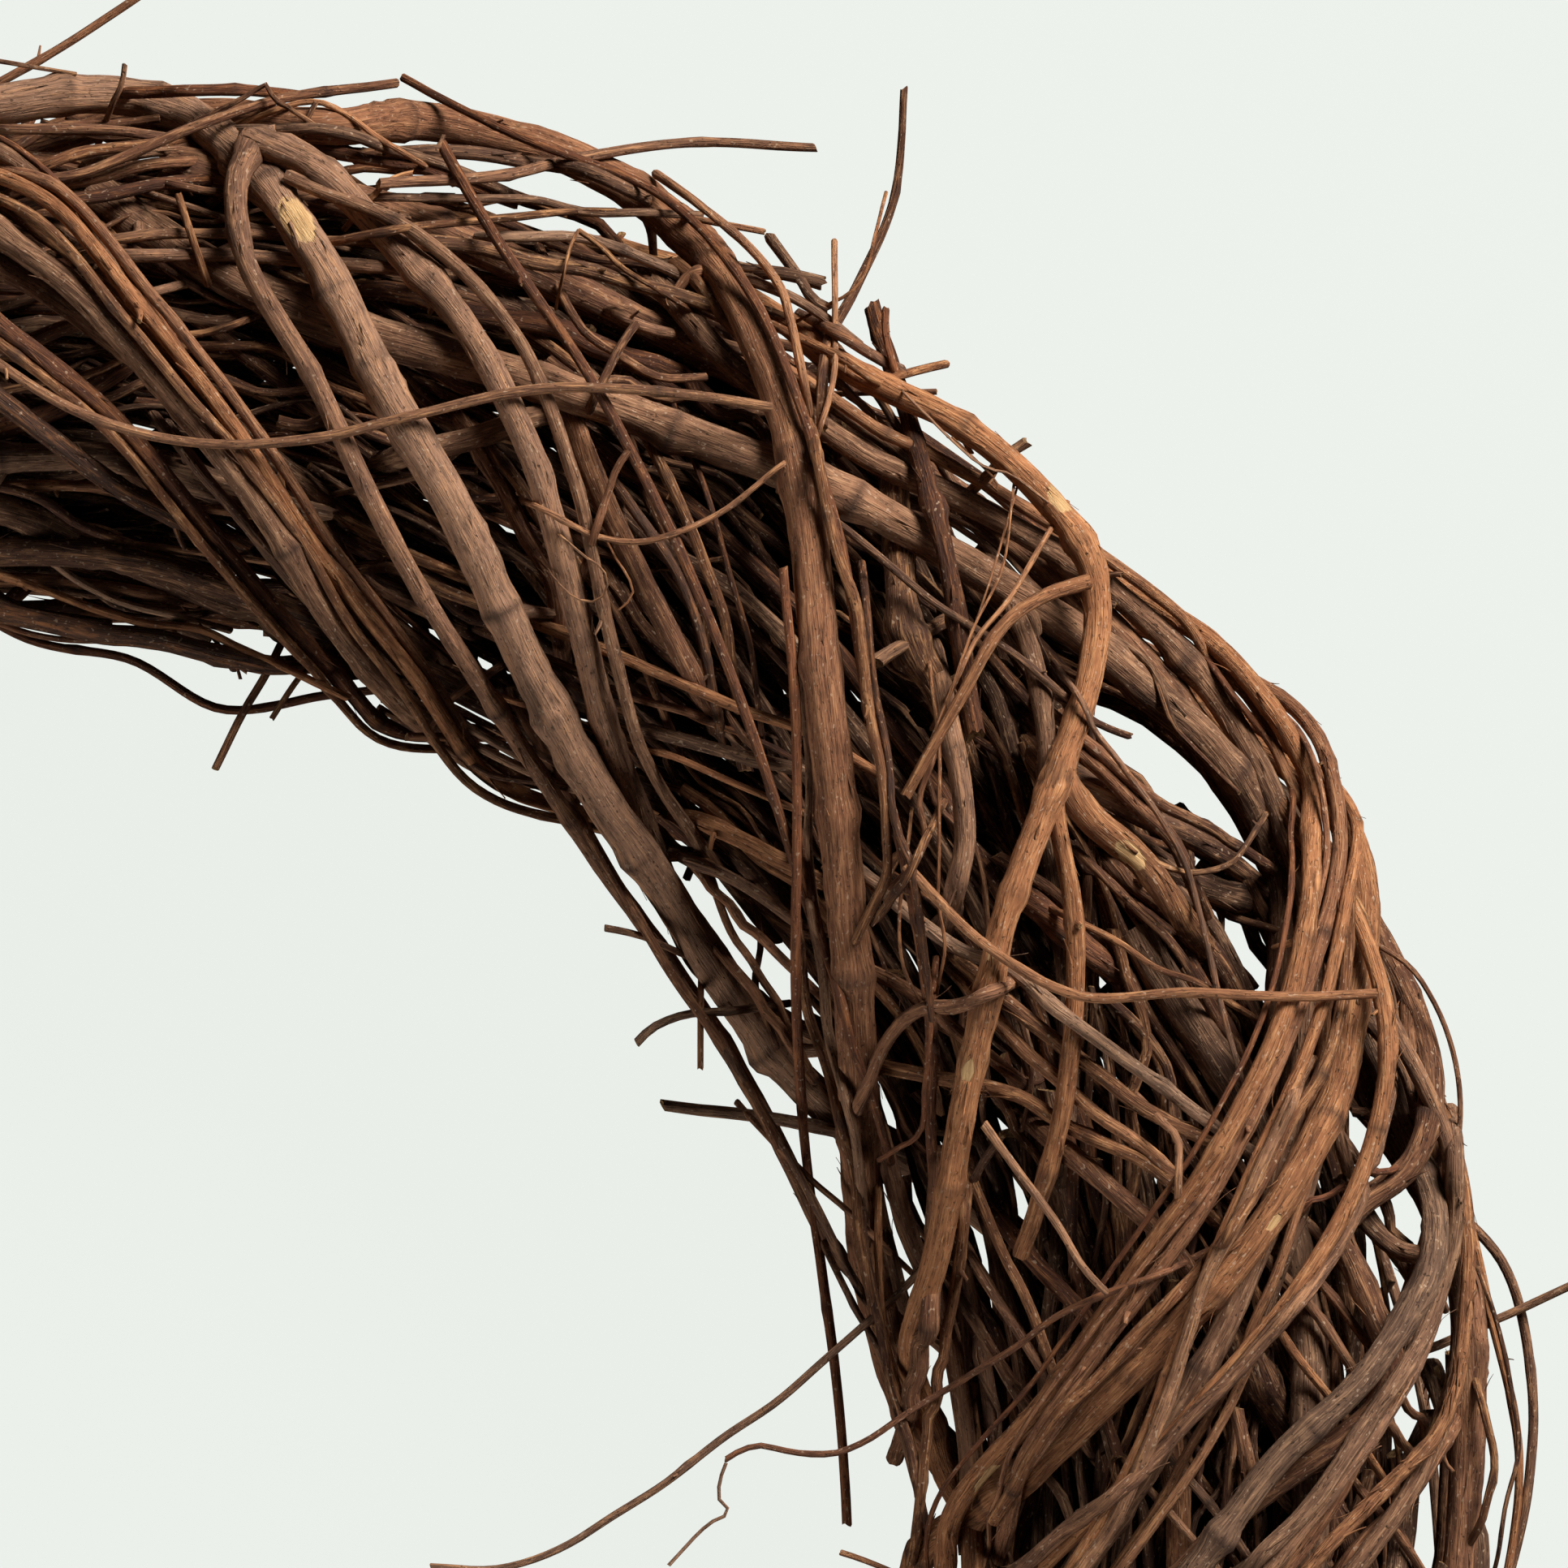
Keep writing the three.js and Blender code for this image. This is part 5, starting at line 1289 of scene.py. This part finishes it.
# Round the bundle for each degree round the ring, for those that wind and those that don't
FILL_DRIFTS = {True: (1.8, 4.2), False: (-0.7, 1.2)}
# Their sways: degrees round the bundle, or shares of the way out, and the degrees round the ring each takes
TURN_SWAY = (9, 17)
OUT_SWAYS = ((0.07, 13), (0.05, 5.3))
FILL_OUTERMOST = 0.93
# Under the face of the quarter whose canes are listed, strands keep this much deeper: from 15 degrees
# before the ring's top, fading out over as much
FACE_ROOM = 0.27
FACE_FADE = 15
FACE_UNTIL = 140


def ring_point(clock, turn, out):
    """The point at a clock angle and a turn round the bundle, in degrees, some share of the way out."""
    clock, turn = np.radians(clock), np.radians(turn)
    radius = RING_RADIUS + HALF_WIDTH * out * np.cos(turn)
    height = MID_HEIGHT + HALF_DEPTH * out * np.sin(turn)
    return np.stack([radius * np.sin(clock), radius * np.cos(clock), height], -1)


def fill_line(rng):
    """A strand inside the bundle: most run along the ring, some wind round in it."""
    start = rng.uniform(0, 360)
    clock = np.arange(0, rng.uniform(*FILL_SPANS), 2.0)
    drift = rng.uniform(*FILL_DRIFTS[bool(rng.uniform() < FILL_WINDING)])
    out = math.sqrt(rng.uniform(*FILL_OUTS))
    sway = rng.uniform(0, FULL_TURN, 3)
    turn = rng.uniform(0, 360) + drift * clock + TURN_SWAY[0] * np.sin(clock / TURN_SWAY[1] + sway[0])
    for (share, slow), shift in zip(OUT_SWAYS, sway[1:]):
        out = out + share * np.sin(clock / slow + shift)
    at = (start + clock + FACE_FADE) % 360
    on_top = np.clip((np.sin(np.radians(turn)) + 0.25) / 0.3, 0, 1)
    seen = np.clip((FACE_UNTIL - at) / FACE_FADE, 0, 1) * on_top
    return ring_point(start + clock, turn, np.clip(out, 0.1, FILL_OUTERMOST - FACE_ROOM * seen))


def fill_bundle(rng, laid):
    """The strands that fill the bundle between the solids, in a few pieces, one bark each."""
    for group, bark in enumerate(FILL_BARKS):
        heap = Heap()
        tree, others = spots_of(laid)
        for _ in range(FILL_STRANDS):
            radius = rng.choice(FILL_RADII, p=FILL_SHARES) * MM
            line = push_clear(smooth_line(fill_line(rng), FILL_STEP), radius, tree, others, FILL_ROUNDS)
            radii = np.linspace(*FILL_TAPER, len(line)) * radius
            look = cane_look(rng, radius, sides=6, fine=5 * MM, coarse=9 * MM)
            # painted shade: strands inside the bundle get a darker tone
            look["tone"] = look["tone"] * SHADED_TONE[0] + SHADED_TONE[1]
            if blocks_a_gap(line, radius):
                continue
            add_cane(heap, rng, line, radii, look)
            laid.append((line, radii))
        heap.finish(f"inner_strands_{group + 1}", f"{bark}_bark")


rng = np.random.default_rng(SEED)
dressed = dress_solids(rng)
laid = [cane for canes in dressed.values() for cane in canes]
face_strands(rng, laid)
thin_twigs(rng, dressed, laid)
fill_bundle(rng, laid)


# The stage

TABLE_HALF = 20.0  # metres
TABLE_DROP = 0.0005  # under the lowest bark
TABLE_GLOW = 0.97
TABLE_MATT = 0.03  # how much of the lamps' light it shows


def make_floor():
    """A pale, evenly lit table: mostly its own light, so that gaps in the wreath show it bright."""
    mesh = bpy.data.meshes.new("pale_table")
    corners = [(x * TABLE_HALF, y * TABLE_HALF, 0) for x, y in ((-1, -1), (1, -1), (1, 1), (-1, 1))]
    mesh.from_pydata(corners, [], [(0, 1, 2, 3)])
    floor = bpy.data.objects.new("pale_table", mesh)
    floor.location.z = -TABLE_DROP
    bpy.context.scene.collection.objects.link(floor)
    material = bpy.data.materials.new("lit_table")
    material.use_nodes = True
    tree = material.node_tree
    tree.nodes.remove(tree.nodes["Principled BSDF"])
    glow = node(tree, "ShaderNodeEmission", {"Color": linear(PALE_GROUND), "Strength": TABLE_GLOW})
    matt = node(tree, "ShaderNodeBsdfDiffuse", {"Color": linear(PALE_GROUND, TABLE_MATT)})
    both = node(tree, "ShaderNodeAddShader", {0: glow.outputs[0], 1: matt.outputs[0]})
    tree.links.new(both.outputs[0], tree.nodes["Material Output"].inputs["Surface"])
    mesh.materials.append(material)
    floor.visible_diffuse = False
    floor.visible_glossy = False
    floor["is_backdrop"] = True


# Lights: where each is and what it points at, in metres, its side, and its power in watts
LIGHTS = {
    "key_light": ((1.3, 1.65, 1.25), (0.1, 0.1, 0.05), 1.0, 96.0),
    "fill_light": ((-1.1, -1.4, 0.45), (0.1, 0.1, 0.05), 1.2, 23.0),
    "rim_light": ((1.7, -0.35, 0.45), (0.2, 0.05, 0.05), 1.0, 4.0),
}
LIGHT_WARMTH = (1.0, 0.95, 0.89)
# The sky's glow: how strong, between which heights it is brightest and faintest, and how faint it gets
SKY_STRENGTH = 0.12
SKY_LOW, SKY_HIGH = 0.05, 0.75
SKY_OVERHEAD = 0.1


def make_lights():
    """A broad soft light from the upper right, faint low ones left and right, and a sky that glows low."""
    for name, (place, target, side, power) in LIGHTS.items():
        lamp = bpy.data.lights.new(name, "AREA")
        lamp.energy, lamp.size, lamp.color = power, side, LIGHT_WARMTH
        light = bpy.data.objects.new(name, lamp)
        light.location = place
        light.rotation_mode = "QUATERNION"
        light.rotation_quaternion = (Vector(target) - Vector(place)).to_track_quat("-Z", "Y")
        bpy.context.scene.collection.objects.link(light)
    world = bpy.data.worlds.new("studio")
    world.use_nodes = True
    tree = world.node_tree
    way = node(tree, "ShaderNodeTexCoord", {}).outputs["Generated"]
    height = node(tree, "ShaderNodeSeparateXYZ", {0: way}).outputs["Z"]
    # none from under the table, most from near its edge, little from overhead
    over = node(tree, "ShaderNodeMapRange", {"Value": height, "From Max": SKY_LOW, "To Max": SKY_STRENGTH})
    low = node(
        tree, "ShaderNodeMapRange",
        {"Value": height, "From Min": SKY_HIGH, "From Max": SKY_LOW, "To Min": SKY_OVERHEAD},
    )
    glow = node(tree, "ShaderNodeMath", {"operation": "MULTIPLY", 0: over.outputs[0], 1: low.outputs[0]})
    tree.nodes["Background"].inputs["Color"].default_value = linear(PALE_GROUND)
    tree.links.new(glow.outputs[0], tree.nodes["Background"].inputs["Strength"])
    bpy.context.scene.world = world


def make_camera():
    """Straight down on the upper right quarter, framed as in the photograph."""
    data = bpy.data.cameras.new("camera")
    data.lens = LENS_MM
    data.sensor_width = SENSOR_MM
    data.clip_end = 60
    camera = bpy.data.objects.new("camera", data)
    distance = VIEW_HALF * LENS_MM / (SENSOR_MM / 2)
    camera.location = (*VIEW_MIDDLE, VIEW_HEIGHT + distance)
    bpy.context.scene.collection.objects.link(camera)
    bpy.context.scene.camera = camera


make_floor()
make_lights()
make_camera()
bpy.context.scene.view_settings.view_transform = "Standard"

box = [[list(corner) for corner in pair] for pair in ((cad_low, cad_high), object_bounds())]
